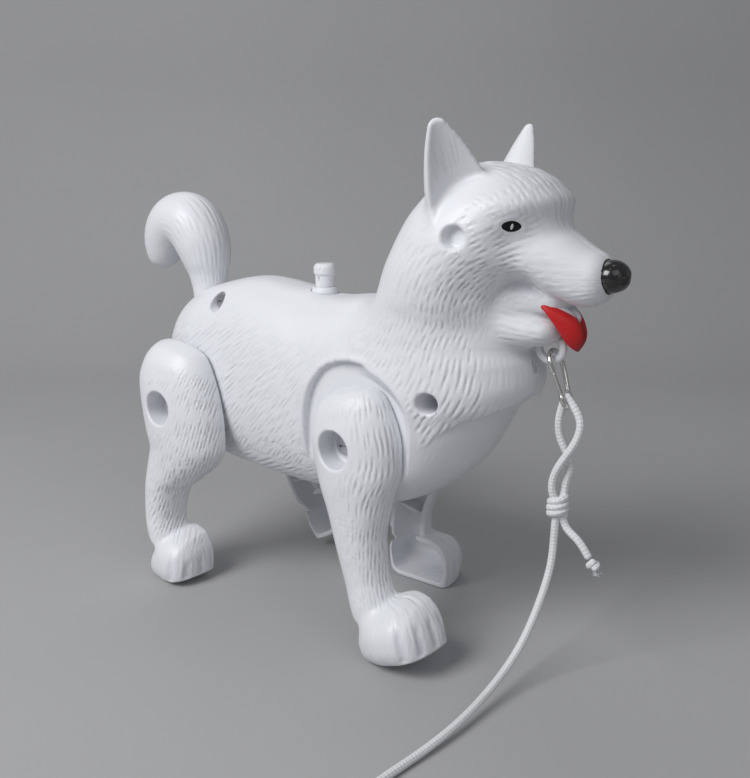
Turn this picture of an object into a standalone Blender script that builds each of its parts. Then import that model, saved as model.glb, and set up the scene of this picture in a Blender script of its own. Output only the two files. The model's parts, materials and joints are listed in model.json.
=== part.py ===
"""Walking toy dog on a leash: two body shells, four driven legs, gearbox, batteries, snap hook and cord.

Lengths are written in millimetres and turned into metres when an object is finished.  +X is the nose, +Y the
dog's left, +Z up.  X is measured from the point midway between the hips, and FRAME_X moves it so that the
middle of the dog lies on the origin.
"""
import math

import bmesh
import bpy
import numpy as np
from mathutils import Matrix, Vector

MM = 0.001
GAP = 0.3
WALL = 2.0

# Main sizes: rump to the front of the muzzle, and across the shoulders
BODY_LENGTH = 186.5
BODY_WIDTH = 61.2
LONG = BODY_LENGTH / 186.5
WIDE = BODY_WIDTH / 61.2
FRAME_X = -17.95 * LONG

# Hips, gait and drive
HIP_X = 42.3 * LONG
HIP_Z = 72.0
# Furthest forward and furthest back, in degrees from upright
FRONT_SWING = (14.5, 11.5)
REAR_SWING = (20.0, 9.0)
RIM_Y = 25.3 * WIDE
WELL_Y = RIM_Y - GAP
PAW_Y = RIM_Y - 2.8
BEARING_Y = 21.5 * WIDE
SHAFT_R = 4.5
BORE_R = 3.0
HUB_HOLE_R = 6.6
HUB_FLOOR_Y = RIM_Y + 4.2
HUB_UNDER_Y = HUB_FLOOR_Y - 2.5
CRANK_X = -2.3
CRANK_Z = 80.0
CRANK_R = 10.2
HUB_INNER_Y = 20.3 * WIDE
FRONT_ARM_Y = (18.1 * WIDE, 20.1 * WIDE)
REAR_ARM_Y = (15.5 * WIDE, 17.5 * WIDE)
PIN_END_Y = REAR_ARM_Y[0] - GAP
CRANK_ARM_Y = (11.2 * WIDE, 13.4 * WIDE)
SHAFT_END_Y = CRANK_ARM_Y[0] - GAP

# Gear train
MODULE = 0.8
CRANK_TEETH = 30
SMALL_TEETH = 9
WHEEL_TEETH = 27
PINION_TEETH = 8
BACKLASH = 0.2
MOTOR_R = 9.0
WHEEL_Y = (-8.5 * WIDE, -5.5 * WIDE)
SMALL_Y = (-5.0 * WIDE, -2.0 * WIDE)
RIGHT_PLATE_Y = (GAP - SHAFT_END_Y, -9.0 * WIDE)
LEFT_PLATE_Y = (-1.2 * WIDE, 0.4 * WIDE)
MOTOR_END_Y = REAR_ARM_Y[0] - 0.8

# Shell screws: x, z, depth of the head seat
SHELL_SCREWS = {
    "head_screw": (79.6 * LONG, 141.0, -15.0),
    "chest_screw": (71.4 * LONG, 90.0, -14.0),
    "rump_screw": (-31.0 * LONG, 110.5, -12.0),
}

# Cord
CORD_D = 2.5
COIL_CENTRE = (112.5, -104.0)
COIL_PITCH = 3.4
COIL_INNER_R = 8.0
COIL_TURNS = 3
COIL_STEP_Z = 2.95

for old in list(bpy.data.objects):
    bpy.data.objects.remove(old, do_unlink=True)

PARTS = bpy.data.collections.new("walking_toy_dog")
bpy.context.scene.collection.children.link(PARTS)
CUTTERS = bpy.data.collections.new("cutters")
bpy.context.scene.collection.children.link(CUTTERS)
CUTTERS.hide_render = True


# Materials
def material(name, colour, roughness, metallic=0.0):
    mat = bpy.data.materials.new(name)
    mat.use_nodes = True
    shader = mat.node_tree.nodes["Principled BSDF"]
    shader.inputs["Base Color"].default_value = (*colour, 1.0)
    shader.inputs["Roughness"].default_value = roughness
    shader.inputs["Metallic"].default_value = metallic
    mat.diffuse_color = (*colour, 1.0)
    return mat


# Curves and sections
def smooth(xs, ys, x):
    """Value at x of a monotone cubic through the points (xs, ys)."""
    xs = np.asarray(xs, float)
    ys = np.asarray(ys, float)
    x = np.asarray(x, float)
    step = np.diff(xs)
    slope = np.diff(ys) / step
    tangent = np.zeros(len(xs))
    tangent[0] = slope[0]
    tangent[-1] = slope[-1]
    same = slope[1:] * slope[:-1] > 0
    left = 2 * step[1:] + step[:-1]
    right = step[1:] + 2 * step[:-1]
    safe_a = np.where(same, slope[:-1], 1.0)
    safe_b = np.where(same, slope[1:], 1.0)
    mean = (left + right) / (left / safe_a + right / safe_b)
    tangent[1:-1] = np.where(same, mean, 0.0)
    i = np.clip(np.searchsorted(xs, x) - 1, 0, len(xs) - 2)
    t = (x - xs[i]) / step[i]
    h = step[i]
    a = (1 + 2 * t) * (1 - t) ** 2
    b = t * (1 - t) ** 2
    c = t * t * (3 - 2 * t)
    d = t * t * (t - 1)
    return a * ys[i] + b * h * tangent[i] + c * ys[i + 1] + d * h * tangent[i + 1]


def power(value, exponent):
    return np.sign(value) * np.abs(value) ** exponent


# Object makers, all in millimetres
def new_object(name, mesh):
    obj = bpy.data.objects.new(name, mesh)
    CUTTERS.objects.link(obj)
    obj.hide_render = True
    obj.display_type = "WIRE"
    return obj


def from_bmesh(name, bm):
    bmesh.ops.recalc_face_normals(bm, faces=bm.faces)
    bmesh.ops.triangulate(bm, faces=bm.faces)
    mesh = bpy.data.meshes.new(name)
    bm.to_mesh(mesh)
    bm.free()
    return new_object(name, mesh)


def loft(name, rings):
    """Skin closed rings of equal length and close both ends with a fan."""
    rings = np.asarray(rings, float)
    count, around = rings.shape[:2]
    verts = rings.reshape(-1, 3).tolist()
    first = len(verts)
    verts.append(rings[0].mean(0).tolist())
    verts.append(rings[-1].mean(0).tolist())
    faces = []
    for i in range(count - 1):
        for j in range(around):
            k = (j + 1) % around
            a = i * around
            b = a + around
            faces.append((a + j, a + k, b + k, b + j))
    last = (count - 1) * around
    for j in range(around):
        k = (j + 1) % around
        faces.append((first, k, j))
        faces.append((first + 1, last + j, last + k))
    mesh = bpy.data.meshes.new(name)
    mesh.from_pydata(verts, [], faces)
    bm = bmesh.new()
    bm.from_mesh(mesh)
    bpy.data.meshes.remove(mesh)
    return from_bmesh(name, bm)


def prism(name, outline, y0, y1):
    """Extrude an outline of (x, z) pairs from y0 to y1."""
    bm = bmesh.new()
    low, high = min(y0, y1), max(y0, y1)
    verts = [bm.verts.new((x, low, z)) for x, z in outline]
    face = bm.faces.new(verts)
    out = bmesh.ops.extrude_face_region(bm, geom=[face])
    moved = [v for v in out["geom"] if isinstance(v, bmesh.types.BMVert)]
    bmesh.ops.translate(bm, verts=moved, vec=(0, high - low, 0))
    return from_bmesh(name, bm)


def box(name, x0, x1, y0, y1, z0, z1):
    outline = ((x0, z0), (x1, z0), (x1, z1), (x0, z1))
    return prism(name, outline, y0, y1)


def rod(name, start, end, radius, sides=20, end_radius=None):
    """Round bar or cone from start to end."""
    start = Vector(start)
    end = Vector(end)
    along = end - start
    bm = bmesh.new()
    tip = radius if end_radius is None else end_radius
    bmesh.ops.create_cone(
        bm, cap_ends=True, segments=sides, radius1=radius, radius2=tip, depth=along.length
    )
    turn = Vector((0, 0, 1)).rotation_difference(along.normalized()).to_matrix().to_4x4()
    bmesh.ops.transform(bm, matrix=Matrix.Translation((start + end) / 2) @ turn, verts=bm.verts)
    return from_bmesh(name, bm)


def rod_y(name, x, z, radius, y0, y1, sides=20):
    return rod(name, (x, min(y0, y1), z), (x, max(y0, y1), z), radius, sides)


def revolve(name, profile, base, axis, sides=24):
    """Spin (radius, height) pairs about an axis that starts at base."""
    bm = bmesh.new()
    verts = [bm.verts.new((r, 0, h)) for r, h in profile]
    edges = [bm.edges.new((verts[i], verts[i + 1])) for i in range(len(verts) - 1)]
    if profile[0][0] > 0:
        edges.append(bm.edges.new((verts[-1], verts[0])))
    bmesh.ops.spin(
        bm, geom=verts + edges, cent=(0, 0, 0), axis=(0, 0, 1), angle=2 * math.pi,
        steps=sides, use_merge=True,
    )
    bmesh.ops.remove_doubles(bm, verts=bm.verts, dist=0.0001)
    turn = Vector((0, 0, 1)).rotation_difference(Vector(axis).normalized()).to_matrix().to_4x4()
    bmesh.ops.transform(bm, matrix=Matrix.Translation(base) @ turn, verts=bm.verts)
    return from_bmesh(name, bm)


def tube(name, points, radius, resolution=2, closed=False):
    """Bevelled poly curve made into a mesh."""
    curve = bpy.data.curves.new(name, "CURVE")
    curve.dimensions = "3D"
    curve.bevel_depth = radius
    curve.bevel_resolution = resolution
    curve.use_fill_caps = True
    spline = curve.splines.new("POLY")
    spline.points.add(len(points) - 1)
    for point, place in zip(spline.points, points):
        point.co = (*place, 1.0)
    spline.use_cyclic_u = closed
    source = bpy.data.objects.new(name, curve)
    CUTTERS.objects.link(source)
    bpy.context.view_layer.update()
    shape = source.evaluated_get(bpy.context.evaluated_depsgraph_get())
    mesh = bpy.data.meshes.new_from_object(shape)
    bpy.data.objects.remove(source, do_unlink=True)
    bm = bmesh.new()
    bm.from_mesh(mesh)
    bpy.data.meshes.remove(mesh)
    bmesh.ops.remove_doubles(bm, verts=bm.verts, dist=0.001)
    return from_bmesh(name, bm)


def path(points, count):
    """Points evenly spaced on a smooth curve through hand-chosen points."""
    points = np.asarray(points, float)
    chord = np.concatenate([[0], np.cumsum(np.linalg.norm(np.diff(points, axis=0), axis=1))])
    fine = np.linspace(0, chord[-1], 600)
    dense = np.stack([natural(chord, points[:, k], fine) for k in range(3)], -1)
    length = np.concatenate([[0], np.cumsum(np.linalg.norm(np.diff(dense, axis=0), axis=1))])
    even = np.linspace(0, length[-1], count)
    return np.stack([np.interp(even, length, dense[:, k]) for k in range(3)], -1)


def natural(xs, ys, x):
    """Natural cubic spline through (xs, ys)."""
    n = len(xs)
    h = np.diff(xs)
    system = np.zeros((n, n))
    right = np.zeros(n)
    system[0, 0] = 1
    system[-1, -1] = 1
    for i in range(1, n - 1):
        system[i, i - 1] = h[i - 1]
        system[i, i] = 2 * (h[i - 1] + h[i])
        system[i, i + 1] = h[i]
        right[i] = 6 * ((ys[i + 1] - ys[i]) / h[i] - (ys[i] - ys[i - 1]) / h[i - 1])
    m = np.linalg.solve(system, right)
    i = np.clip(np.searchsorted(xs, x) - 1, 0, n - 2)
    a = xs[i + 1] - x
    b = x - xs[i]
    bend = (m[i] * a ** 3 + m[i + 1] * b ** 3) / (6 * h[i])
    return bend + (ys[i] / h[i] - m[i] * h[i] / 6) * a + (ys[i + 1] / h[i] - m[i + 1] * h[i] / 6) * b


def volume(mesh):
    bm = bmesh.new()
    bm.from_mesh(mesh)
    value = bm.calc_volume(signed=True)
    bm.free()
    return value


def triangles(mesh, flat=0.002):
    """Join what is flat, then split it into triangles, so that no face is bent."""
    bm = bmesh.new()
    bm.from_mesh(mesh)
    bmesh.ops.remove_doubles(bm, verts=bm.verts, dist=0.0005)
    bmesh.ops.dissolve_degenerate(bm, edges=bm.edges, dist=0.0005)
    bmesh.ops.dissolve_limit(bm, angle_limit=flat, verts=bm.verts, edges=bm.edges)
    bmesh.ops.triangulate(bm, faces=bm.faces)
    bm.to_mesh(mesh)
    bm.free()


def plausible(result, first, second, operation):
    """Whether the volume of a Boolean's result can be right."""
    slack = 0.02 + 0.0003 * max(first, second)
    if operation == "UNION":
        return max(first, second) - slack <= result <= first + second + slack
    if operation == "DIFFERENCE":
        return first - second - slack <= result <= first + slack and result > 0.02 * first
    return 0.0005 * first < result <= min(first, second) + slack


def boolean(obj, tool, operation):
    """Exact Boolean, applied at once; a result that cannot be right is made again with the tool nudged."""
    before = volume(obj.data)
    other = volume(tool.data)
    for nudge in (0.0, 0.004, -0.007, 0.011, -0.016):
        tool.data.transform(Matrix.Translation((nudge, 0.7 * nudge, 0.4 * nudge)))
        mod = obj.modifiers.new("cut", "BOOLEAN")
        mod.operation = operation
        mod.object = tool
        mod.solver = "EXACT"
        bpy.context.view_layer.update()
        shape = obj.evaluated_get(bpy.context.evaluated_depsgraph_get())
        mesh = bpy.data.meshes.new_from_object(shape)
        obj.modifiers.clear()
        triangles(mesh)
        if plausible(volume(mesh), before, other, operation):
            break
        bpy.data.meshes.remove(mesh)
        mesh = None
    if mesh is None:
        raise RuntimeError(f"{operation} of {obj.name} with {tool.name} failed")
    old = obj.data
    obj.data = mesh
    bpy.data.meshes.remove(old)
    bpy.data.objects.remove(tool, do_unlink=True)
    return obj


def union(obj, *tools):
    for tool in tools:
        boolean(obj, tool, "UNION")
    return obj


def cut(obj, *tools):
    for tool in tools:
        boolean(obj, tool, "DIFFERENCE")
    return obj


def copy(obj, name):
    return new_object(name, obj.data.copy())


def mirrored(obj, name):
    """The same form on the other side of the dog."""
    bm = bmesh.new()
    bm.from_mesh(obj.data)
    bmesh.ops.transform(bm, matrix=Matrix.Diagonal((1, -1, 1, 1)), verts=bm.verts)
    bmesh.ops.reverse_faces(bm, faces=bm.faces)
    mesh = bpy.data.meshes.new(name)
    bm.to_mesh(mesh)
    bm.free()
    return new_object(name, mesh)


def swung(obj, centre, degrees):
    """Swing a form about the Y line through centre, forward for a positive angle."""
    move = Matrix.Translation((centre[0], 0, centre[1]))
    spin = Matrix.Rotation(math.radians(-degrees), 4, "Y")
    obj.data.transform(move @ spin @ move.inverted())
    return obj


def bevelled(obj, width, segments=1):
    mod = obj.modifiers.new("round", "BEVEL")
    mod.width = width
    mod.segments = segments
    mod.limit_method = "ANGLE"
    bpy.context.view_layer.update()
    shape = obj.evaluated_get(bpy.context.evaluated_depsgraph_get())
    mesh = bpy.data.meshes.new_from_object(shape)
    obj.modifiers.clear()
    obj.data = mesh
    return obj


def finish(obj, name, mat, origin=(0.0, 0.0, 0.0)):
    """Turn a form into a finished part in metres with its origin at a chosen point."""
    mesh = obj.data.copy()
    mesh.name = name
    triangles(mesh, 0.006)
    shift = Matrix.Translation(-Vector(origin))
    mesh.transform(Matrix.Scale(MM, 4) @ shift)
    mesh.materials.clear()
    mesh.materials.append(mat)
    for polygon in mesh.polygons:
        polygon.use_smooth = False
    bpy.data.objects.remove(obj, do_unlink=True)
    part = bpy.data.objects.new(name, mesh)
    PARTS.objects.link(part)
    part.location = ((origin[0] + FRAME_X) * MM, origin[1] * MM, origin[2] * MM)
    return part


WHITE = material("white_plastic", (0.86, 0.88, 0.92), 0.42)
LEG_WHITE = material("leg_plastic", (0.86, 0.88, 0.92), 0.42)
TAIL_WHITE = material("tail_plastic", (0.86, 0.88, 0.92), 0.42)
BUTTON_WHITE = material("button_plastic", (0.88, 0.9, 0.93), 0.38)
NOSE_BLACK = material("nose_black", (0.01, 0.01, 0.012), 0.25)
TONGUE_RED = material("tongue_red", (0.6, 0.012, 0.02), 0.4)
NICKEL = material("nickel_wire", (0.72, 0.71, 0.69), 0.22, 1.0)
SCREW_STEEL = material("screw_steel", (0.5, 0.51, 0.53), 0.3, 1.0)
GEAR_PLASTIC = material("gear_plastic", (0.75, 0.73, 0.66), 0.45)
FRAME_PLASTIC = material("frame_plastic", (0.05, 0.05, 0.055), 0.5)
MOTOR_STEEL = material("motor_steel", (0.55, 0.55, 0.56), 0.35, 1.0)
PINION_BRASS = material("pinion_brass", (0.72, 0.52, 0.22), 0.3, 1.0)
CELL_SKIN = material("cell_skin", (0.1, 0.12, 0.16), 0.4)
CORD_WHITE = material("cord_white", (0.85, 0.86, 0.88), 0.8)

# Trunk: x, back height, belly height, half width
TRUNK = np.array([
    (-68.5, 93.0, 76.0, 8.0),
    (-66.0, 99.0, 67.0, 14.0),
    (-60.5, 106.0, 57.5, 18.8),
    (-52.0, 111.4, 51.0, 22.2),
    (-40.0, 116.0, 47.4, 24.2),
    (-20.0, 119.6, 44.8, 24.7),
    (0.0, 117.6, 44.0, 26.6),
    (15.0, 115.6, 44.2, 28.4),
    (30.0, 117.0, 45.5, 29.6),
    (44.0, 116.0, 49.0, 29.8),
    (56.0, 111.0, 57.0, 28.0),
    (65.0, 104.0, 67.0, 23.0),
    (71.0, 96.0, 78.0, 14.0),
])
# Neck and head: height, back, front, half width
NECK = np.array([
    (48.0, 34.0, 54.0, 18.0),
    (56.0, 25.0, 66.0, 26.0),
    (65.0, 18.0, 75.5, 29.2),
    (75.0, 13.0, 82.5, 30.3),
    (83.0, 12.0, 87.0, 30.6),
    (88.5, 13.0, 92.0, 30.6),
    (95.0, 17.5, 94.5, 29.8),
    (101.0, 23.0, 93.5, 29.0),
    (107.0, 29.0, 90.0, 28.4),
    (114.0, 37.0, 86.5, 28.2),
    (122.0, 42.0, 86.5, 29.2),
    (130.0, 45.0, 89.0, 29.6),
    (138.0, 48.5, 93.0, 28.8),
    (145.0, 52.0, 99.0, 27.0),
    (150.0, 55.8, 102.4, 24.6),
    (155.0, 60.5, 98.8, 20.4),
    (159.5, 66.0, 91.5, 14.5),
    (162.2, 72.0, 83.0, 6.5),
])
# Upper muzzle: x, top, lip, half width
MUZZLE = np.array([
    (74.0, 149.5, 122.0, 21.5),
    (86.0, 148.0, 123.0, 20.2),
    (95.0, 144.4, 122.4, 16.8),
    (103.0, 139.8, 121.2, 13.2),
    (110.0, 136.2, 120.4, 10.9),
    (115.0, 134.2, 121.6, 8.5),
    (118.0, 132.4, 124.4, 5.0),
])
# Lower jaw: x, top, chin, half width
JAW = np.array([
    (66.0, 119.0, 104.0, 17.0),
    (80.0, 118.0, 104.6, 16.0),
    (92.0, 116.4, 106.0, 12.0),
    (100.0, 115.0, 108.0, 8.8),
    (104.0, 114.0, 110.0, 5.0),
])

for table in (TRUNK, MUZZLE, JAW):
    table *= (LONG, 1, 1, WIDE)
NECK *= (1, LONG, LONG, WIDE)


def length_loft(name, table, stations, around, exponent, grow=0.0):
    """Loft of superellipse sections square to X; grow moves the surface out, or in when negative."""
    x = np.linspace(table[0, 0], table[-1, 0], stations)
    top, low, half = (smooth(table[:, 0], table[:, k], x) for k in (1, 2, 3))
    middle = (table[0, 0] + table[-1, 0]) / 2
    reach = (table[-1, 0] - table[0, 0]) / 2
    place = middle + (x - middle) * (reach + grow) / reach
    angle = np.linspace(0, 2 * np.pi, around, endpoint=False)
    side = power(np.cos(angle), 2 / exponent)
    rise = power(np.sin(angle), 2 / exponent)
    rings = np.zeros((stations, around, 3))
    rings[..., 0] = place[:, None]
    rings[..., 1] = (half[:, None] + grow) * side
    rings[..., 2] = (top + low)[:, None] / 2 + ((top - low)[:, None] / 2 + grow) * rise
    return loft(name, rings)


def height_loft(name, table, stations, around, exponent, grow=0.0):
    """Loft of superellipse sections square to Z."""
    z = np.linspace(table[0, 0], table[-1, 0], stations)
    back, front, half = (smooth(table[:, 0], table[:, k], z) for k in (1, 2, 3))
    middle = (table[0, 0] + table[-1, 0]) / 2
    reach = (table[-1, 0] - table[0, 0]) / 2
    place = middle + (z - middle) * (reach + grow) / reach
    angle = np.linspace(0, 2 * np.pi, around, endpoint=False)
    along = power(np.cos(angle), 2 / exponent)
    side = power(np.sin(angle), 2 / exponent)
    rings = np.zeros((stations, around, 3))
    rings[..., 0] = (back + front)[:, None] / 2 + ((front - back)[:, None] / 2 + grow) * along
    rings[..., 1] = (half[:, None] + grow) * side
    rings[..., 2] = place[:, None]
    return loft(name, rings)


def ear(name, side):
    """Upright ear, its face turned forward and outward, hollowed a little in front."""
    t = np.linspace(0, 1, 6)
    base = np.array((75.0 * LONG, 16.5 * WIDE * side, 146.0))
    tip = np.array((74.0 * LONG, 26.6 * WIDE * side, 174.4))
    centre = base + (tip - base) * t[:, None]
    wide = smooth((0, 0.3, 0.7, 1), (14.6, 12.4, 7.2, 1.6), t)
    thick = smooth((0, 0.3, 0.7, 1), (8.0, 6.4, 3.8, 1.2), t)
    facing = math.radians(11)
    across = np.array((-math.sin(facing) * side, math.cos(facing), 0))
    normal = np.array((math.cos(facing), math.sin(facing) * side, 0))
    angle = np.linspace(0, 2 * np.pi, 10, endpoint=False)
    a = np.cos(angle)
    b = np.sin(angle)
    b = np.where(b > 0, b * 0.3, b)
    rings = centre[:, None] + wide[:, None, None] * a[:, None] * across
    rings = rings + thick[:, None, None] * b[:, None] * normal
    return loft(name, rings)


# Outer form of the body: lofts joined
outer = length_loft("outer", TRUNK, 14, 18, 2.35)
union(outer, height_loft("neck", NECK, 14, 18, 2.2))
union(outer, length_loft("muzzle", MUZZLE, 8, 14, 2.3))
union(outer, length_loft("jaw", JAW, 6, 12, 2.2))
union(outer, ear("ear_r", -1), ear("ear_l", 1))

# Cavity: the same lofts a wall smaller, less everything that stands in it
cavity = length_loft("cavity", TRUNK, 11, 14, 2.35, -WALL)
union(cavity, height_loft("cavity_neck", NECK, 11, 14, 2.2, -WALL))

WELL = np.array((
    (66.0, 34.0), (67.5, 60.0), (66.5, 80.0), (63.0, 92.0), (56.0, 98.5), (46.0, 101.0),
    (36.0, 100.0), (28.0, 95.5), (23.0, 87.0), (21.0, 76.0), (21.5, 62.0), (23.0, 34.0),
))
WELL_MIDDLE = (HIP_X + 1.7, 68.0)


def well(name, side, grow, y0):
    outline = []
    for x, z in WELL + (HIP_X - 42.3, 0.0):
        dx = x - WELL_MIDDLE[0]
        dz = z - WELL_MIDDLE[1]
        far = math.hypot(dx, dz)
        outline.append((x + dx / far * grow, z + dz / far * grow))
    return prism(name, outline, y0 * side, 45.0 * side)


for side in (-1, 1):
    cut(cavity, well("slab", side, WALL, WELL_Y - WALL))
    for hip in (-HIP_X, HIP_X):
        cut(cavity, rod_y("hip_boss", hip, HIP_Z, 11.0, BEARING_Y * side, 40 * side, 12))
for x, z, seat in SHELL_SCREWS.values():
    cut(cavity, rod_y("screw_boss", x, z, 5.0, -40, 40, 8))

# Posts that carry the gearbox plates and the battery tray
POSTS = {"front": (CRANK_X + 22.3, CRANK_Z + 12), "rear": (CRANK_X - 36.7, CRANK_Z + 13)}
for x, z in POSTS.values():
    cut(cavity, rod_y("post_r", x, z, 3.0, -40, RIGHT_PLATE_Y[0] - GAP, 8))
    cut(cavity, rod_y("post_l", x, z, 3.0, LEFT_PLATE_Y[1] + GAP, 40, 8))
for side in (-1, 1):
    cut(cavity, box("tray_ledge_f", 21.5, 25.5, 14.0 * side, 40 * side, 44, 56.9))
    cut(cavity, box("tray_ledge_r", -30.5, -26.5, 14.0 * side, 40 * side, 44, 56.9))

# Tail socket
TAIL_ROOT = np.array((-52.2 * LONG, 0.0, 111.4))
TAIL_AXIS = np.array((-0.12, 0.0, 0.9928))
cut(cavity, rod("tail_boss", TAIL_ROOT - 9 * TAIL_AXIS, TAIL_ROOT + 6 * TAIL_AXIS, 10.5, 20))

shell = cut(copy(outer, "shell"), cavity)
for side in (-1, 1):
    cut(shell, well("well", side, 0.0, WELL_Y))
    union(shell, rod_y("hip_face", -HIP_X, HIP_Z, 10.4, (BEARING_Y + 0.8) * side, WELL_Y * side, 16))
    for hip in (-HIP_X, HIP_X):
        cut(shell, rod_y("hub_room", hip, HIP_Z, 7.0, 12 * side, BEARING_Y * side, 12))
        cut(shell, rod_y("bearing", hip, HIP_Z, SHAFT_R + GAP, 15 * side, 45 * side, 14))

# Collar boss of the tail is trimmed flat, then bored for the tail's neck
cut(shell, rod("tail_face", TAIL_ROOT, TAIL_ROOT + 12 * TAIL_AXIS, 7.9, 18))
cut(shell, rod("tail_bore", TAIL_ROOT - 14 * TAIL_AXIS, TAIL_ROOT + 12 * TAIL_AXIS, 5.5 + GAP, 16))

# Screw wells on the right, clearance through the boss, blind pilot on the left
for x, z, seat in SHELL_SCREWS.values():
    cut(shell, rod_y("screw_well", x, z, 3.4, -45, seat, 12))
    cut(shell, rod_y("screw_clear", x, z, 1.6, seat - 1, 9.0, 8))

# Button hole, nose seat, ring slot
BUTTON_X = 8.3 * LONG
cut(shell, rod("button_hole", (BUTTON_X, 0, 104), (BUTTON_X, 0, 130), 5.2, 16))
NOSE_AT = (117.6 * LONG, 0.0, 129.6)
RING_AT = (99.0 * LONG, 0.0, 106.6)


def ellipsoid(name, centre, radii, grow=0.0, rows=8, around=12):
    bm = bmesh.new()
    bmesh.ops.create_uvsphere(bm, u_segments=around, v_segments=rows, radius=1.0)
    size = [r + grow for r in radii]
    bmesh.ops.transform(bm, matrix=Matrix.Diagonal((*size, 1)), verts=bm.verts)
    bmesh.ops.translate(bm, vec=centre, verts=bm.verts)
    return from_bmesh(name, bm)


NOSE_SIZE = (5.0, 5.4, 4.5)
cut(shell, ellipsoid("nose_seat", NOSE_AT, NOSE_SIZE, GAP))
cut(shell, box("ring_slot", RING_AT[0] - 5.8, RING_AT[0] + 5.8, -1.6, 1.6, 98, 112.6))
cut(shell, box("stem_slot", RING_AT[0] - 2.6, RING_AT[0] + 2.6, -1.6, 1.6, 98, 114.0))

# Battery opening in the belly
DOOR = (-32.0, 22.0, 12.5)
DOOR_SCREW_X = -29.0
cut(shell, box("door_hole", DOOR[0], DOOR[1], -DOOR[2], DOOR[2], 36, 52))

right = boolean(copy(shell, "right"), box("half_r", -140, 160, -60, -GAP / 2, 0, 200), "INTERSECT")
left = boolean(copy(shell, "left"), box("half_l", -140, 160, GAP / 2, 60, 0, 200), "INTERSECT")
bpy.data.objects.remove(shell, do_unlink=True)
finish(right, "right_shell", WHITE)
finish(left, "left_shell", WHITE)

# Shell screws
for name, (x, z, seat) in SHELL_SCREWS.items():
    profile = ((0, 0), (2.8, 0), (2.8, 1.5), (1.2, 1.6), (1.2, -seat + 8.0), (0, -seat + 8.6))
    screw = revolve(name, profile, (x, seat - 1.5 - GAP, z), (0, 1, 0), 12)
    slot = box("slot", x - 2.2, x + 2.2, seat - 4, seat - 1.5 - GAP + 0.7, z - 0.35, z + 0.35)
    cut(screw, slot)
    finish(screw, name, SCREW_STEEL, (x, seat, z))

# Nose, tongue and chin ring
nose = ellipsoid("nose", NOSE_AT, NOSE_SIZE)
for side in (-1, 1):
    front = (NOSE_AT[0] + 4.9, 2.6 * side, 129.0)
    cut(nose, rod("nostril", front, (NOSE_AT[0] + 0.9, 1.9 * side, 129.4), 0.95, 10))
finish(nose, "nose", NOSE_BLACK, NOSE_AT)

t = np.linspace(0, 1, 8)
angle = np.linspace(0, 2 * np.pi, 12, endpoint=False)
TONGUE = ((-6, 0, 119.4), (1, 0, 118.9), (6.6, 0, 116.6), (9.2, 0, 111.8), (8.6, 0, 106.6))
tongue_mid = path(TONGUE, 8) + np.array((RING_AT[0], 0, 0))
tongue_wide = smooth((0, 0.3, 0.6, 0.85, 1), (5.0, 7.4, 8.0, 5.8, 2.2), t)
along = np.gradient(tongue_mid, axis=0)
along = along / np.linalg.norm(along, axis=1)[:, None]
upward = np.stack([-along[:, 2], 0 * t, along[:, 0]], -1)
rings = np.zeros((8, 12, 3))
across = np.cos(angle)
over = np.sin(angle)
crease = np.where(over > 0, 0.9 * np.exp(-(across / 0.22) ** 2), 0.0)
rings += tongue_mid[:, None]
rings[..., 1] += tongue_wide[:, None] * across
rings += (1.9 * over - crease)[None, :, None] * upward[:, None]
rings[..., 0] -= 0.05 * (tongue_wide[:, None] * across) ** 2
tongue = loft("tongue", rings)
cut(tongue, length_loft("jaw_clear", JAW, 7, 16, 2.2, GAP))
finish(tongue, "tongue", TONGUE_RED)

ring_wire = [(4.0 + 1.3 * math.cos(a), 1.25 * math.sin(a)) for a in np.arange(0, 6.2, 0.785)]
ring = revolve("ring", ring_wire, RING_AT, (0, 1, 0), 16)
union(ring, box("ring_stem", RING_AT[0] - 2.2, RING_AT[0] + 2.2, -1.25, 1.25, 109.8, 113.6))
finish(ring, "chin_ring", WHITE)


# Legs
def d_ring(y_in, depth, middle, half, exponent, count):
    """Open D section: a superellipse arc that bulges outward from the rim plane."""
    angle = np.linspace(0, np.pi, count)
    u = middle + half * power(np.cos(angle), 2 / exponent)
    y = y_in + depth * power(np.sin(angle), 2 / exponent)
    return u, y


# Limb sections: height from the hip, rear edge, front edge, depth from the rim
FRONT_LIMB = np.array([
    (19.0, -1.5, 9.5, 4.0),
    (17.0, -6.5, 14.2, 8.0),
    (11.0, -12.0, 17.8, 11.4),
    (1.0, -15.2, 19.3, 13.2),
    (-10.0, -15.0, 17.6, 13.2),
    (-22.0, -13.2, 11.8, 12.2),
    (-34.0, -12.0, 7.0, 11.4),
    (-46.0, -11.0, 5.6, 11.0),
    (-56.0, -11.0, 7.4, 12.0),
    (-62.0, -10.5, 8.6, 12.0),
])
REAR_LIMB = np.array([
    (24.5, -10.0, 3.0, 4.0),
    (21.5, -15.0, 8.5, 8.4),
    (15.0, -18.6, 14.5, 12.4),
    (7.0, -19.8, 19.5, 13.8),
    (-2.0, -18.6, 23.0, 14.2),
    (-12.0, -16.6, 25.5, 14.0),
    (-20.0, -13.4, 24.0, 13.4),
    (-28.0, -10.6, 16.4, 13.0),
    (-36.0, -9.8, 9.2, 12.8),
    (-46.0, -8.8, 8.6, 12.6),
    (-54.0, -7.0, 11.4, 13.0),
    (-61.0, -4.5, 14.0, 13.0),
])
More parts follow.
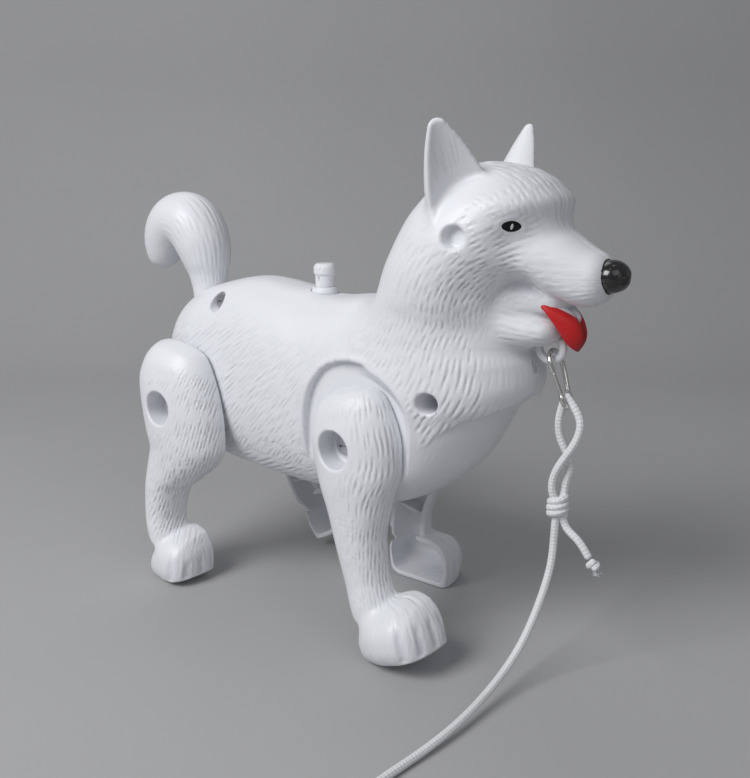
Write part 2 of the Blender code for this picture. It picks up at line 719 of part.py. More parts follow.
# Paw sections: distance in front of the hip, top, outward reach from the paw's inner edge
FRONT_PAW = np.array([
    (-9.8, -66.0, 11.5), (-7.5, -60.0, 14.5), (-2.5, -55.0, 18.0), (4.0, -53.0, 20.2),
    (10.0, -54.0, 20.4), (15.0, -57.0, 18.6), (18.0, -61.0, 15.0), (20.0, -65.0, 10.0),
])
REAR_PAW = np.array([
    (-3.4, -66.0, 12.0), (-1.4, -60.0, 15.0), (4.0, -54.0, 17.8), (9.0, -52.0, 18.8),
    (14.0, -53.5, 18.8), (17.5, -57.0, 17.2), (19.5, -60.5, 14.2), (20.8, -64.0, 10.0),
])


def sole(u, swing):
    """Height of two planes, each of which lies flat on the floor at one end of the swing."""
    front, back = np.radians(swing)
    heel = -(HIP_Z + u * math.sin(front)) / math.cos(front)
    ball = (-HIP_Z + u * math.sin(back)) / math.cos(back)
    return max(heel, ball)


def leg(name, limb, paw, profile, hip):
    """Right leg in its upright pose, hip at (hip, HIP_Z); mirrored later for the left side."""
    def limb_loft(grow, y_in, stations):
        z = np.linspace(limb[0, 0] + grow, limb[-1, 0], stations)
        key = -limb[:, 0]
        rear, front, depth = (smooth(key, limb[:, k], np.maximum(-z, key[0])) for k in (1, 2, 3))
        rings = []
        for h, r, f, d in zip(z, rear, front, depth):
            u, y = d_ring(y_in, d + grow + RIM_Y - y_in, (r + f) / 2, (f - r) / 2 + grow, 2.3, 10)
            rings.append(np.stack([u + hip, -y, 0 * u + h + HIP_Z], -1))
        return loft("limb", rings)

    def paw_loft(grow, y_in, stations):
        u = np.linspace(paw[0, 0] - grow, paw[-1, 0] + grow, stations)
        place = np.clip(u, paw[0, 0], paw[-1, 0])
        top, reach = (smooth(paw[:, 0], paw[:, k], place) for k in (1, 2))
        rings = []
        for p, high, out in zip(u, top, reach):
            low = -76.5 - 2 * grow
            half = (high + grow - low) / 2
            zz, y = d_ring(y_in, out + grow + PAW_Y - y_in, low + half, half, 2.4, 8)
            rings.append(np.stack([0 * zz + p + hip, -y, zz + HIP_Z], -1))
        return loft("paw", rings)

    body = limb_loft(0.0, RIM_Y, 11)
    union(body, paw_loft(0.0, PAW_Y, 8))
    hollow = limb_loft(-WALL, RIM_Y - 3.2, 8)
    union(hollow, paw_loft(-WALL, PAW_Y - 4.1, 7))
    cut(hollow, rod_y("hub", hip, HIP_Z, HUB_HOLE_R + 2.0, 0, -60, 14))
    line = [(u + hip, z + HIP_Z) for u, z in profile]
    ends = [(line[-1][0], -40), (line[0][0], -40)]
    cut(hollow, prism("sole_floor", [(x, z + WALL) for x, z in line] + ends, 0, -60))
    for z0, z1 in ((-30.0, -28.6), (-47.0, -45.6)):
        cut(hollow, box("rib", hip - 40, hip + 40, -60, -RIM_Y - 2.0, HIP_Z + z0, HIP_Z + z1))
    cut(body, hollow)
    cut(body, prism("ground", line + ends, 0, -60))
    union(body, rod_y("shaft", hip, HIP_Z, SHAFT_R, -HUB_INNER_Y - GAP, -HUB_UNDER_Y - 1, 14))
    cut(body, rod_y("screw_hole", hip, HIP_Z, HUB_HOLE_R, -HUB_FLOOR_Y, -60, 16))
    cut(body, rod_y("bore", hip, HIP_Z, BORE_R, 0, -HUB_UNDER_Y, 12))
    cut(body, rod_y("clear", hip, HIP_Z, 1.8, 0, -60, 10))
    for k in range(3):
        y = -PAW_Y - 4.6 - 3.9 * k
        x = paw[-1, 0] + hip
        toe = rod("toe_line", (x - 6.0, y + 0.4, HIP_Z - 53.5), (x + 2.5, y, HIP_Z - 73), 0.9, 4)
        cut(body, toe)
    body.name = name
    return body


def rocker(name, hip, layer, swing):
    """Slotted arm on the inner end of a leg shaft, aimed at the crank when the leg is in mid swing."""
    sign = 1 if CRANK_X > hip else -1
    far = math.hypot(CRANK_X - hip, CRANK_Z - HIP_Z)
    rise = math.degrees(math.atan2(CRANK_Z - HIP_Z, abs(CRANK_X - hip)))
    slot_near = far - CRANK_R - 2.3
    slot_far = far + CRANK_R + 2.3
    tip = 3.4
    y0, y1 = layer
    outline = []
    for a in np.linspace(-math.pi / 2, math.pi / 2, 7):
        outline.append((hip + sign * (slot_far - 1.8 + tip * math.cos(a)), HIP_Z + tip * math.sin(a)))
    outline.append((hip + sign * 4, HIP_Z + 5.2))
    outline.append((hip + sign * 4, HIP_Z - 5.2))
    arm = prism(name, outline, -y0, -y1)
    union(arm, rod_y("hub", hip, HIP_Z, 6.2, -y0, -HUB_INNER_Y, 14))
    union(arm, rod_y("boss", hip, HIP_Z, BORE_R - GAP, -y0 - 0.5, -HUB_UNDER_Y + GAP, 12))
    opening = []
    for a in np.linspace(-math.pi / 2, math.pi / 2, 5):
        opening.append((hip + sign * (slot_far - 1.8 + 1.8 * math.cos(a)), HIP_Z + 1.8 * math.sin(a)))
    for a in np.linspace(math.pi / 2, 3 * math.pi / 2, 5):
        opening.append((hip + sign * (slot_near + 1.8 + 1.8 * math.cos(a)), HIP_Z + 1.8 * math.sin(a)))
    cut(arm, prism("slot", opening, 0, -40))
    cut(arm, rod_y("pilot", hip, HIP_Z, 1.6, -y0 - 1.0, -40, 10))
    return swung(arm, (hip, HIP_Z), (swing[1] - swing[0]) / 2 + sign * rise)


def pivot_screw(name, hip):
    profile = ((0, 0), (3.6, 0.3), (3.6, 1.7), (1.35, 1.8), (1.35, 11.0), (0, 11.6))
    screw = revolve(name, profile, (hip, -HUB_FLOOR_Y - 1.7 - GAP, HIP_Z), (0, 1, 0), 12)
    top = -HUB_FLOOR_Y - 1.7 - GAP
    cut(screw, box("slot_a", hip - 2.4, hip + 2.4, top - 1, top + 0.9, HIP_Z - 0.4, HIP_Z + 0.4))
    return screw


FRONT_SOLE = [(u, sole(u, FRONT_SWING)) for u in (-16.0, -3.6, 0.0, 25.0)]
REAR_SOLE = [(u, sole(u, REAR_SWING)) for u in (-4.6, 8.5)]
REAR_SOLE.append((25.0, REAR_SOLE[-1][1] + 16.5 * math.tan(math.radians(REAR_SWING[1] + 15))))
front_leg = leg("front_leg", FRONT_LIMB, FRONT_PAW, FRONT_SOLE, HIP_X)
rear_leg = leg("rear_leg", REAR_LIMB, REAR_PAW, REAR_SOLE, -HIP_X)
front_rocker = rocker("front_rocker", HIP_X, FRONT_ARM_Y, FRONT_SWING)
rear_rocker = rocker("rear_rocker", -HIP_X, REAR_ARM_Y, REAR_SWING)

for label, hip, form, arm, pose in (
    ("front", HIP_X, front_leg, front_rocker, (FRONT_SWING[0], -FRONT_SWING[1])),
    ("rear", -HIP_X, rear_leg, rear_rocker, (-REAR_SWING[1], REAR_SWING[0])),
):
    hip_point = (hip, 0.0, HIP_Z)
    for side, degrees in zip(("right", "left"), pose):
        pieces = (
            (f"{side}_{label}_leg", copy(form, "leg"), LEG_WHITE),
            (f"{side}_{label}_rocker", copy(arm, "rocker"), GEAR_PLASTIC),
            (f"{side}_{label}_screw", pivot_screw("screw", hip), SCREW_STEEL),
        )
        for name, piece, mat in pieces:
            if side == "left":
                flipped = mirrored(piece, "flipped")
                bpy.data.objects.remove(piece, do_unlink=True)
                piece = flipped
            swung(piece, (hip, HIP_Z), degrees)
            finish(piece, name, mat, hip_point)
    bpy.data.objects.remove(form, do_unlink=True)
    bpy.data.objects.remove(arm, do_unlink=True)


# Gears
def gear_outline(teeth, phase, centre):
    """Involute teeth of 20 degrees pressure angle, thinned by the backlash."""
    pitch = MODULE * teeth / 2
    base = pitch * math.cos(math.radians(20))
    tip = pitch + MODULE * 0.95
    root = pitch - MODULE * 1.2

    def involute(r):
        a = math.acos(min(1.0, base / max(r, base)))
        return math.tan(a) - a

    half = math.pi / (2 * teeth) - BACKLASH / (4 * pitch) + involute(pitch)
    low = max(root, base)
    radii = [root, tip] if teeth > 20 else [root, max(low, pitch - 0.1 * MODULE), tip]
    points = []
    for k in range(teeth):
        middle = phase + 2 * math.pi * k / teeth
        for r in radii:
            points.append((r, middle - half + involute(r)))
        for r in reversed(radii):
            points.append((r, middle + half - involute(r)))
    return [(centre[0] + r * math.cos(a), centre[1] + r * math.sin(a)) for r, a in points]


CRANK_AT = (CRANK_X, CRANK_Z)
line = math.radians(165)
reach = MODULE * (CRANK_TEETH + SMALL_TEETH) / 2 + 0.05
COMPOUND = (CRANK_AT[0] + reach * math.cos(line), CRANK_AT[1] + reach * math.sin(line))
motor_line = math.radians(125)
motor_reach = MODULE * (WHEEL_TEETH + PINION_TEETH) / 2 + 0.05
MOTOR_AT = (
    COMPOUND[0] + motor_reach * math.cos(motor_line),
    COMPOUND[1] + motor_reach * math.sin(motor_line),
)

crank_gear = prism("crank_gear", gear_outline(CRANK_TEETH, line, CRANK_AT), *SMALL_Y)
union(crank_gear, rod_y("crank_shaft", *CRANK_AT, 1.8, -SHAFT_END_Y, SHAFT_END_Y, 14))
finish(crank_gear, "crank_gear", GEAR_PLASTIC, (CRANK_AT[0], 0, CRANK_AT[1]))

small_phase = line + math.pi - math.pi / SMALL_TEETH
compound = prism("compound", gear_outline(WHEEL_TEETH, motor_line, COMPOUND), *WHEEL_Y)
small_outline = gear_outline(SMALL_TEETH, small_phase, COMPOUND)
union(compound, prism("small", small_outline, WHEEL_Y[1] - 0.5, SMALL_Y[1]))
cut(compound, rod_y("axle_hole", *COMPOUND, 1.0 + GAP, -40, 40, 12))
finish(compound, "compound_gear", GEAR_PLASTIC, (COMPOUND[0], 0, COMPOUND[1]))

pinion_phase = motor_line + math.pi - math.pi / PINION_TEETH
pinion = prism("pinion", gear_outline(PINION_TEETH, pinion_phase, MOTOR_AT), *WHEEL_Y)
union(pinion, rod_y("motor_shaft", *MOTOR_AT, 0.9, WHEEL_Y[0] + 0.5, LEFT_PLATE_Y[1] + 1.2, 10))
finish(pinion, "motor_pinion", PINION_BRASS, (MOTOR_AT[0], 0, MOTOR_AT[1]))

motor = rod_y("motor", *MOTOR_AT, MOTOR_R, LEFT_PLATE_Y[1] + GAP, MOTOR_END_Y, 18)
cut(motor, rod_y("motor_bore", *MOTOR_AT, 0.9 + GAP, -10, LEFT_PLATE_Y[1] + 1.8, 12))
motor = bevelled(motor, 0.6)
finish(motor, "motor", MOTOR_STEEL)

axle = rod_y("gear_axle", *COMPOUND, 1.0, RIGHT_PLATE_Y[0] + 0.4, LEFT_PLATE_Y[1] - 0.4, 12)
finish(axle, "gear_axle", SCREW_STEEL)

# Plate outline and spacers, from the crank shaft
PLATE = np.array(CRANK_AT) + (
    (-40.7, 9.0), (-40.7, 17.0), (-30.7, 24.4), (-13.7, 24.4), (-3.7, 15.8), (26.3, 15.8),
    (26.3, 8.0), (16.3, -12.0), (8.3, -16.0), (-7.7, -16.0), (-21.7, -10.0), (-31.7, 0.0),
)
SPACERS = np.array(CRANK_AT) + ((-34.7, 13.5), (23.3, 12.0), (11.8, -10.0))
for name, span in (("gearbox_right_plate", RIGHT_PLATE_Y), ("gearbox_left_plate", LEFT_PLATE_Y)):
    plate = prism(name, PLATE, *span)
    cut(plate, rod_y("shaft_hole", *CRANK_AT, 1.8 + GAP, -40, 40, 14))
    if name == "gearbox_left_plate":
        cut(plate, rod_y("motor_hole", *MOTOR_AT, 0.9 + GAP, -40, 40, 12))
        for x, z in SPACERS:
            union(plate, rod_y("spacer", x, z, 2.0, RIGHT_PLATE_Y[1] + GAP, LEFT_PLATE_Y[0] + 0.3, 10))
        cut(plate, rod_y("axle_seat", *COMPOUND, 1.0 + GAP, -40, LEFT_PLATE_Y[1] - 0.2, 12))
    else:
        cut(plate, rod_y("axle_seat", *COMPOUND, 1.0 + GAP, RIGHT_PLATE_Y[0] + 0.2, 0, 12))
    finish(plate, name, FRAME_PLASTIC)

for name, sign, place in (("right_crank", -1, -1), ("left_crank", 1, 1)):
    pin = (CRANK_AT[0], CRANK_AT[1] + place * CRANK_R)
    outline = []
    for a in np.linspace(0, math.pi, 9):
        outline.append((CRANK_AT[0] + 4.6 * math.cos(a) * -place, CRANK_AT[1] - 4.6 * math.sin(a) * place))
    for a in np.linspace(0, math.pi, 9):
        outline.append((pin[0] - 3.0 * math.cos(a) * -place, pin[1] + 3.0 * math.sin(a) * place))
    arm = prism(name, outline, sign * CRANK_ARM_Y[0], sign * CRANK_ARM_Y[1])
    union(arm, rod_y("pin", *pin, 1.5, sign * (CRANK_ARM_Y[1] - 0.4), sign * PIN_END_Y, 12))
    finish(arm, name, GEAR_PLASTIC, (CRANK_AT[0], 0, CRANK_AT[1]))

# Push button, its collar and switch
collar_z = 113.4
collar_profile = ((3.7, 0), (4.9, 0), (4.9, 3.0), (4.5, 4.2), (4.1, 4.6), (3.7, 4.6))
collar = revolve("collar", collar_profile, (BUTTON_X, 0, collar_z), (0, 0, 1), 14)
finish(collar, "button_collar", WHITE)
button = revolve(
    "button",
    ((0, 0), (3.4, 0), (3.4, 14.2), (4.0, 14.8), (4.0, 17.2), (3.1, 18.4), (0, 18.4)),
    (BUTTON_X, 0, 108.0), (0, 0, 1), 16,
)
cut(button, box("button_slot", BUTTON_X - 0.4, BUTTON_X + 0.4, -6, -2.4, 119.4, 121.9))
finish(button, "push_button", BUTTON_WHITE, (BUTTON_X, 0, 108.0))
switch = bevelled(box("switch", BUTTON_X - 5, BUTTON_X + 5, -4.5, 4.5, 96.0 + GAP, 102.0), 0.4)
union(switch, rod("plunger", (BUTTON_X, 0, 101), (BUTTON_X, 0, 104.6), 2.2, 14))
finish(switch, "push_switch", FRAME_PLASTIC)

# Batteries, tray and door
CELL_R = 5.25
CELL_Z = 54.2
tray = box("tray", -27.0, 22.0, -12.6, 12.6, 53.0, 61.0)
union(tray, box("door_boss", -31.4, -26.2, -3.2, 3.2, 49.4, 57.0))
for side in (-1, 1):
    union(tray, box("tab_f", 20.4, 25.0, 12.0 * side, 16.0 * side, 57.2, 58.4))
    union(tray, box("tab_r", -30.0, -25.4, 12.0 * side, 16.0 * side, 57.2, 58.4))
cut(tray, box("tray_room", -25.2, 20.6, -11.3, 11.3, 40, 59.8))
cut(tray, rod("door_pilot", (DOOR_SCREW_X, 0, 40), (DOOR_SCREW_X, 0, 54), 1.3 + GAP, 10))
finish(tray, "battery_tray", FRAME_PLASTIC)
for name, y in (("battery_right", -5.7), ("battery_left", 5.7)):
    cell = rod("cell", (-24.6, y, CELL_Z), (18.5, y, CELL_Z), CELL_R, 16)
    union(cell, rod("cell_tip", (17.5, y, CELL_Z), (19.9, y, CELL_Z), 1.8, 12))
    finish(cell, name, CELL_SKIN)
door = boolean(
    copy(outer, "door"),
    box("door_block", DOOR[0] + GAP, DOOR[1] - GAP, -DOOR[2] + GAP, DOOR[2] - GAP, 36, 52 - GAP),
    "INTERSECT",
)
cut(door, length_loft("door_inside", TRUNK, 11, 14, 2.35, -WALL))
cut(door, rod("door_clear", (DOOR_SCREW_X, 0, 30), (DOOR_SCREW_X, 0, 60), 1.3 + GAP, 10))
cut(door, rod("door_sink", (DOOR_SCREW_X, 0, 30), (DOOR_SCREW_X, 0, 46.7), 3.0, 12))
finish(door, "battery_door", WHITE)
screw = revolve("door_screw", ((0, 0), (2.6, 0), (2.6, 1.2), (1.3, 1.3), (1.3, 7.0), (0, 7.6)),
                (DOOR_SCREW_X, 0, 45.2), (0, 0, 1), 12)
finish(screw, "door_screw", SCREW_STEEL)
bpy.data.objects.remove(outer, do_unlink=True)

# Tail: a curled horn on a flanged neck
TAIL = np.array((TAIL_ROOT[0] + 52.2, 0, 0)) + np.array([
    (-52.3, 112.2, 7.0),
    (-52.9, 117.0, 7.6),
    (-53.6, 123.0, 9.8),
    (-55.6, 130.5, 11.5),
    (-60.6, 137.2, 12.0),
    (-68.5, 138.6, 11.4),
    (-75.0, 134.4, 10.4),
    (-78.4, 128.0, 8.8),
    (-79.4, 122.4, 6.6),
    (-79.2, 118.6, 3.4),
])
chord = np.concatenate([[0], np.cumsum(np.hypot(*np.diff(TAIL[:, :2], axis=0).T))])
s = np.linspace(0, chord[-1], 13)
mid = np.stack([natural(chord, TAIL[:, 0], s), 0 * s, natural(chord, TAIL[:, 1], s)], -1)
radius = smooth(chord, TAIL[:, 2], s)
along = np.gradient(mid, axis=0)
along = along / np.linalg.norm(along, axis=1)[:, None]
upward = np.stack([-along[:, 2], 0 * s, along[:, 0]], -1)
angle = np.linspace(0, 2 * np.pi, 14, endpoint=False)
rings = mid[:, None] + radius[:, None, None] * (
    np.cos(angle)[None, :, None] * upward[:, None] + np.sin(angle)[None, :, None] * np.array((0, 1, 0))
)
tail = loft("tail", rings)
cut(tail, rod("tail_trim", TAIL_ROOT - 8 * TAIL_AXIS, TAIL_ROOT + GAP * TAIL_AXIS, 20, 24))
neck = ((0, -11.4), (6.8, -11.4), (6.8, -9.3), (5.5, -9.3), (5.5, 3.0), (0, 3.0))
union(tail, revolve("tail_neck", neck, TAIL_ROOT, TAIL_AXIS, 20))
finish(tail, "tail", TAIL_WHITE, tuple(TAIL_ROOT))

# Snap hook, in a plane that leans forward
HOOK_TOP = np.array((RING_AT[0] + 0.6, 0.0, 105.9))
LEAN = math.radians(20)
WIRE_R = 0.75


def hook_point(y, drop):
    """Point of the hook's plane: sideways y, distance drop down along the leaning plane."""
    return HOOK_TOP + np.array((math.sin(LEAN) * drop, y, -math.cos(LEAN) * drop))


def arc(y, drop, radius, first, last, count):
    angles = np.radians(np.linspace(first, last, count))
    return [hook_point(y + radius * math.cos(a), drop - radius * math.sin(a)) for a in angles]


body = [hook_point(-3.5, 6.4), hook_point(-3.7, 5.0)]
body += arc(0.0, 3.8, 3.8, 180, 0, 9)
body += [hook_point(3.7, 6.6), hook_point(3.1, 10.2), hook_point(2.5, 12.8)]
body += arc(0.0, 15.4, 2.75, 30, -205, 12)
hook = tube("hook", body, WIRE_R, 1)
finish(hook, "hook_body", NICKEL)
GATE_PIVOT = hook_point(-2.25, 13.7)
GATE_TIP = hook_point(-3.42, 6.85)
gate = tube("gate", [GATE_PIVOT, (GATE_PIVOT + GATE_TIP) / 2, GATE_TIP], 0.6, 1)
finish(gate, "hook_gate", NICKEL, tuple(GATE_PIVOT))

# Leash: loop through the hook's eye, knot, short tail, lead, coil and end knot
R = CORD_D / 2
EYE = hook_point(0.0, 15.4)
KNOT = np.array((RING_AT[0] + 5.2, -0.4, 55.5))
LEASH = np.array((RING_AT[0] - 99.0, 0, 0))
loop_points = (
    KNOT + (-1.4, -1.3, 5.0), KNOT + (-1.6, -1.5, 8.0), KNOT + (0.2, -1.5, 14.0), KNOT + (4.4, -0.8, 21.5),
    KNOT + (6.0, 0.1, 28.5), EYE + (0.0, 0.0, 0.85), KNOT + (-1.2, 0.6, 29.9), KNOT + (-0.9, 1.4, 22.5),
    KNOT + (2.4, 2.3, 13.5), KNOT + (1.6, 1.5, 8.0), KNOT + (1.4, 1.3, 5.0),
)
finish(tube("loop", path(loop_points, 24), R), "leash_loop", CORD_WHITE)
knot = revolve(
    "knot",
    ((0, -3.4), (2.3, -3.4), (3.3, -2.6), (3.4, -1.5), (2.9, -0.9), (3.7, 0.0), (3.7, 1.0), (3.0, 1.7),
     (3.5, 2.5), (3.2, 3.9), (2.4, 4.5), (0, 4.5)),
    KNOT, (0.05, 0, 1), 12,
)
finish(knot, "leash_knot", CORD_WHITE)
tail_points = (
    KNOT + (2.0, 0.6, -4.1), KNOT + (3.1, 0.6, -6.2), KNOT + (7.2, 0.0, -9.1), KNOT + (11.4, -0.2, -13.9),
)
finish(tube("cord_tail", path(tail_points, 8), R), "leash_tail", CORD_WHITE)
tip = ellipsoid("tip", KNOT + (13.3, -0.3, -16.3), (2.6, 2.4, 2.2), 0.0, 6, 10)
finish(tip, "leash_tail_knot", CORD_WHITE)


def coil_points():
    """Two flat spirals, in then out, joined by half a turn that climbs one layer."""
    per_turn = 18
    outer_r = COIL_INNER_R + COIL_TURNS * COIL_PITCH
    t = np.arange(0, COIL_TURNS * per_turn + 1) / per_turn
    first = np.stack([t, outer_r - COIL_PITCH * t, 0 * t], -1)
    u = np.arange(1, per_turn // 2 + 1) / per_turn
    climb = np.stack([COIL_TURNS + u, 0 * u + COIL_INNER_R, 2 * u * COIL_STEP_Z], -1)
    t = t[1:]
    second = np.stack([COIL_TURNS + 0.5 + t, COIL_INNER_R + COIL_PITCH * t, 0 * t + COIL_STEP_Z], -1)
    turns = np.concatenate([first, climb, second])
    angle = math.pi + 2 * math.pi * turns[:, 0]
    x = LEASH[0] + COIL_CENTRE[0] + turns[:, 1] * np.cos(angle)
    y = COIL_CENTRE[1] + turns[:, 1] * np.sin(angle)
    z = R + 0.1 + turns[:, 2]
    points = np.stack([x, y, z], -1)
    start = points[0] + np.array((0, CORD_D, 0))
    out = points[-1] - points[-2]
    end = points[-1] + out / np.linalg.norm(out) * CORD_D
    return np.concatenate([[start], points, [end]])


coil = coil_points()
sample = np.concatenate([coil[:-1] + (coil[1:] - coil[:-1]) * f for f in (0.0, 0.25, 0.5, 0.75)])
order = np.concatenate([np.arange(len(coil) - 1) + f for f in (0.0, 0.25, 0.5, 0.75)])
apart = np.linalg.norm(sample[:, None] - sample[None], axis=-1)
near = np.abs(order[:, None] - order[None]) < 8
print("coil least gap to itself, mm:", round(float(np.where(near, 99, apart).min() - CORD_D), 3))
finish(tube("coil", coil, R, 1), "leash_coil", CORD_WHITE)

lead_points = (
    KNOT + (-0.2, -0.4, -3.8), KNOT + (-0.3, -0.6, -6.3), LEASH + (103.9, -2.2, 37.9),
    LEASH + (102.9, -7.0, 25.4), LEASH + (101.2, -16.0, 12.9), LEASH + (100.0, -33.0, 5.2),
    LEASH + (99.0, -55.0, 2.5), LEASH + (96.8, -70.0, 1.5), LEASH + (94.8, -84.0, R + 0.1),
    LEASH + (94.3, -94.0, R + 0.1), coil[0] + np.array((0, GAP, 0)),
)
finish(tube("lead", path(lead_points, 32), R), "leash_lead", CORD_WHITE)
end_dir = coil[-1] - coil[-2]
end_dir = end_dir / np.linalg.norm(end_dir)
end_knot = ellipsoid("end_knot", coil[-1] + end_dir * (2.4 + GAP), (2.4, 2.4, 2.4), 0.0, 6, 10)
finish(end_knot, "leash_end_knot", CORD_WHITE)

dog = [o for o in PARTS.objects if "leash" not in o.name]
spans = [[(o.matrix_world @ v.co).x for v in o.data.vertices] for o in dog]
count = sum(len(o.data.polygons) for o in PARTS.objects)
print("dog from", round(min(map(min, spans)), 4), "to", round(max(map(max, spans)), 4), "triangles", count)
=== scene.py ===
# %% [markdown]
# # A walking toy dog on a leash
#
# The real toy is a moulded white dog about 21 cm long, with four swinging legs, a curled tail, a push
# button on its back and a cord leash clipped to a ring under its chin.  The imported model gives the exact
# places of all 47 parts.  This lesson dresses it: the moulded skins are made again with their carved fur,
# the cord with its braid, and every part gets a material.

import json
import math

import bmesh
import bpy
import numpy as np
from mathutils import Matrix, Vector

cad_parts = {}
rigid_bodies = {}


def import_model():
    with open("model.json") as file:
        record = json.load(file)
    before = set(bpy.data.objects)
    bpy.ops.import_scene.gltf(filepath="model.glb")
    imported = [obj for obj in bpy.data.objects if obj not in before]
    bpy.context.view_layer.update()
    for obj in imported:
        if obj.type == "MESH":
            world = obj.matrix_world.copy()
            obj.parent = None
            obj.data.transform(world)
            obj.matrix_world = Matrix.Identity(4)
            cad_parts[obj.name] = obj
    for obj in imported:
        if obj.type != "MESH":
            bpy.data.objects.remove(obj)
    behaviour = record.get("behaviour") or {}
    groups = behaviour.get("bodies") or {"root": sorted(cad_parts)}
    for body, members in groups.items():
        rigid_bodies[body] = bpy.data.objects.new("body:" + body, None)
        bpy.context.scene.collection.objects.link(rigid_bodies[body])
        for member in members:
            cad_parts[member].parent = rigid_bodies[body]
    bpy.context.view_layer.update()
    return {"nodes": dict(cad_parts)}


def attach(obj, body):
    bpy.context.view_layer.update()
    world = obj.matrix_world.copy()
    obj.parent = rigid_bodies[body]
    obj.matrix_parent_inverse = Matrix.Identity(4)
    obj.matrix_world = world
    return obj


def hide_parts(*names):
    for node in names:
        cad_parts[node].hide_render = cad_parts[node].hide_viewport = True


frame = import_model()
MM = 0.001  # metres in a millimetre
SHIFT = -17.95  # x in the frame of the point midway between the hips
STEP = 1.14  # mesh of the nets over the moulded forms
print("parts in the frame:", len(frame["nodes"]))

# %% [markdown]
# ## Camera
#
# The toy was photographed from its right front side, a little above.  Lengths in this lesson are written in
# millimetres from the point midway between the hips; `place` moves them to the frame and turns them into
# metres.  A pinhole camera is its place, the way it looks and the width of view, and nothing else.


# %% Camera
def place(points):
    """Millimetres from the middle of the hips to metres in the frame."""
    return (np.asarray(points, float) + (SHIFT, 0, 0)) * MM


def add(name, data):
    """New object with its data, put in the scene."""
    made = bpy.data.objects.new(name, data)
    bpy.context.scene.collection.objects.link(made)
    return made


yaw = math.radians(37.02)
pitch = math.radians(14.32)
rightward = Vector((math.cos(yaw), math.sin(yaw), 0))
inward = Vector((-math.sin(yaw), math.cos(yaw), 0))
upward = Vector((0, 0, 1))
ahead = inward * math.cos(pitch) - upward * math.sin(pitch)
above = upward * math.cos(pitch) + inward * math.sin(pitch)
stand = Vector(place((217.7, -247.4, 162.8)))
FRAME_WIDTH, FOCAL_LENGTH, MIDDLE_DROP = 750, 892, 2  # pixels

lens = bpy.data.cameras.new("camera")
lens.sensor_fit = "HORIZONTAL"
lens.sensor_width = 36
lens.lens = FOCAL_LENGTH / FRAME_WIDTH * lens.sensor_width
lens.shift_y = -MIDDLE_DROP / FRAME_WIDTH
lens.clip_start = 0.01
camera = add("camera", lens)
camera.matrix_world = Matrix((
    (rightward.x, above.x, -ahead.x, stand.x),
    (rightward.y, above.y, -ahead.y, stand.y),
    (rightward.z, above.z, -ahead.z, stand.z),
    (0, 0, 0, 1),
))
bpy.context.scene.camera = camera
bpy.context.scene.view_settings.view_transform = "Standard"
print("camera stands at", [round(c, 3) for c in stand])

# %% [markdown]
# ## Tools for curves
#
# Two kinds of curve draw everything here.  A *monotone* curve never overshoots its points, so it suits the
# outline of a body.  A *natural* spline bends like a thin batten and suits a cord or a tail.


# %% Curves
def steady(xs, ys, x):
    """Monotone cubic through the points (xs, ys), read at x; it never swings past a point."""
    xs = np.asarray(xs, float)
    ys = np.asarray(ys, float)
    step = np.diff(xs)
    slope = np.diff(ys) / step
    same = slope[1:] * slope[:-1] > 0
    near = 2 * step[1:] + step[:-1]
    far = step[1:] + 2 * step[:-1]
    before = np.where(same, slope[:-1], 1)
    after = np.where(same, slope[1:], 1)
    inner = np.where(same, (near + far) / (near / before + far / after), 0)
    tangent = np.concatenate([slope[:1], inner, slope[-1:]])
    x = np.clip(x, xs[0], xs[-1])
    i = np.clip(np.searchsorted(xs, x) - 1, 0, len(xs) - 2)
    h = step[i]
    t = (x - xs[i]) / h
    rise = ys[i] * (1 + 2 * t) * (1 - t) ** 2 + ys[i + 1] * t * t * (3 - 2 * t)
    return rise + h * t * (1 - t) * (tangent[i] * (1 - t) - tangent[i + 1] * t)


def run_of(path):
    """Distance along a path at each of its points."""
    return np.concatenate([[0], np.cumsum(np.linalg.norm(np.diff(path, axis=0), axis=1))])


def batten(points, count):
    """Evenly spaced points on a natural spline through a few chosen ones."""
    points = np.asarray(points, float)
    chord = run_of(points)
    h = np.diff(chord)
    n = len(chord)
    inner = np.arange(1, n - 1)
    system = np.eye(n)
    system[inner, inner - 1] = h[:-1]
    system[inner, inner] = 2 * (h[:-1] + h[1:])
    system[inner, inner + 1] = h[1:]
    rate = np.diff(points, axis=0) / h[:, None]
    bend = np.zeros_like(points)
    bend[1:-1] = 6 * np.diff(rate, axis=0)
    bend = np.linalg.solve(system, bend)
    s = np.linspace(0, chord[-1], 40 * n)
    i = np.clip(np.searchsorted(chord, s) - 1, 0, n - 2)
    a = (chord[i + 1] - s)[:, None]
    b = (s - chord[i])[:, None]
    w = h[i][:, None]
    fine = (bend[i] * a ** 3 + bend[i + 1] * b ** 3) / (6 * w)
    fine = fine + (points[i] / w - bend[i] * w / 6) * a + (points[i + 1] / w - bend[i + 1] * w / 6) * b
    run = run_of(fine)
    even = np.linspace(0, run[-1], count)
    return np.stack([np.interp(even, run, row) for row in fine.T], -1)


def ramp(low, high, x):
    """0 below low, 1 above high, and a soft S between; low may be the greater."""
    t = np.clip((x - low) / (high - low), 0, 1)
    return t * t * (3 - 2 * t)


def signed(v, e):
    """Power of a number that keeps its sign."""
    return np.sign(v) * np.abs(v) ** e


def unit(v):
    """The same direction with length 1."""
    return v / np.maximum(np.linalg.norm(v, axis=-1, keepdims=True), 1e-9)


def circle(count):
    """Angles of evenly spaced points round a circle."""
    return np.linspace(0, 2 * np.pi, count, endpoint=False)


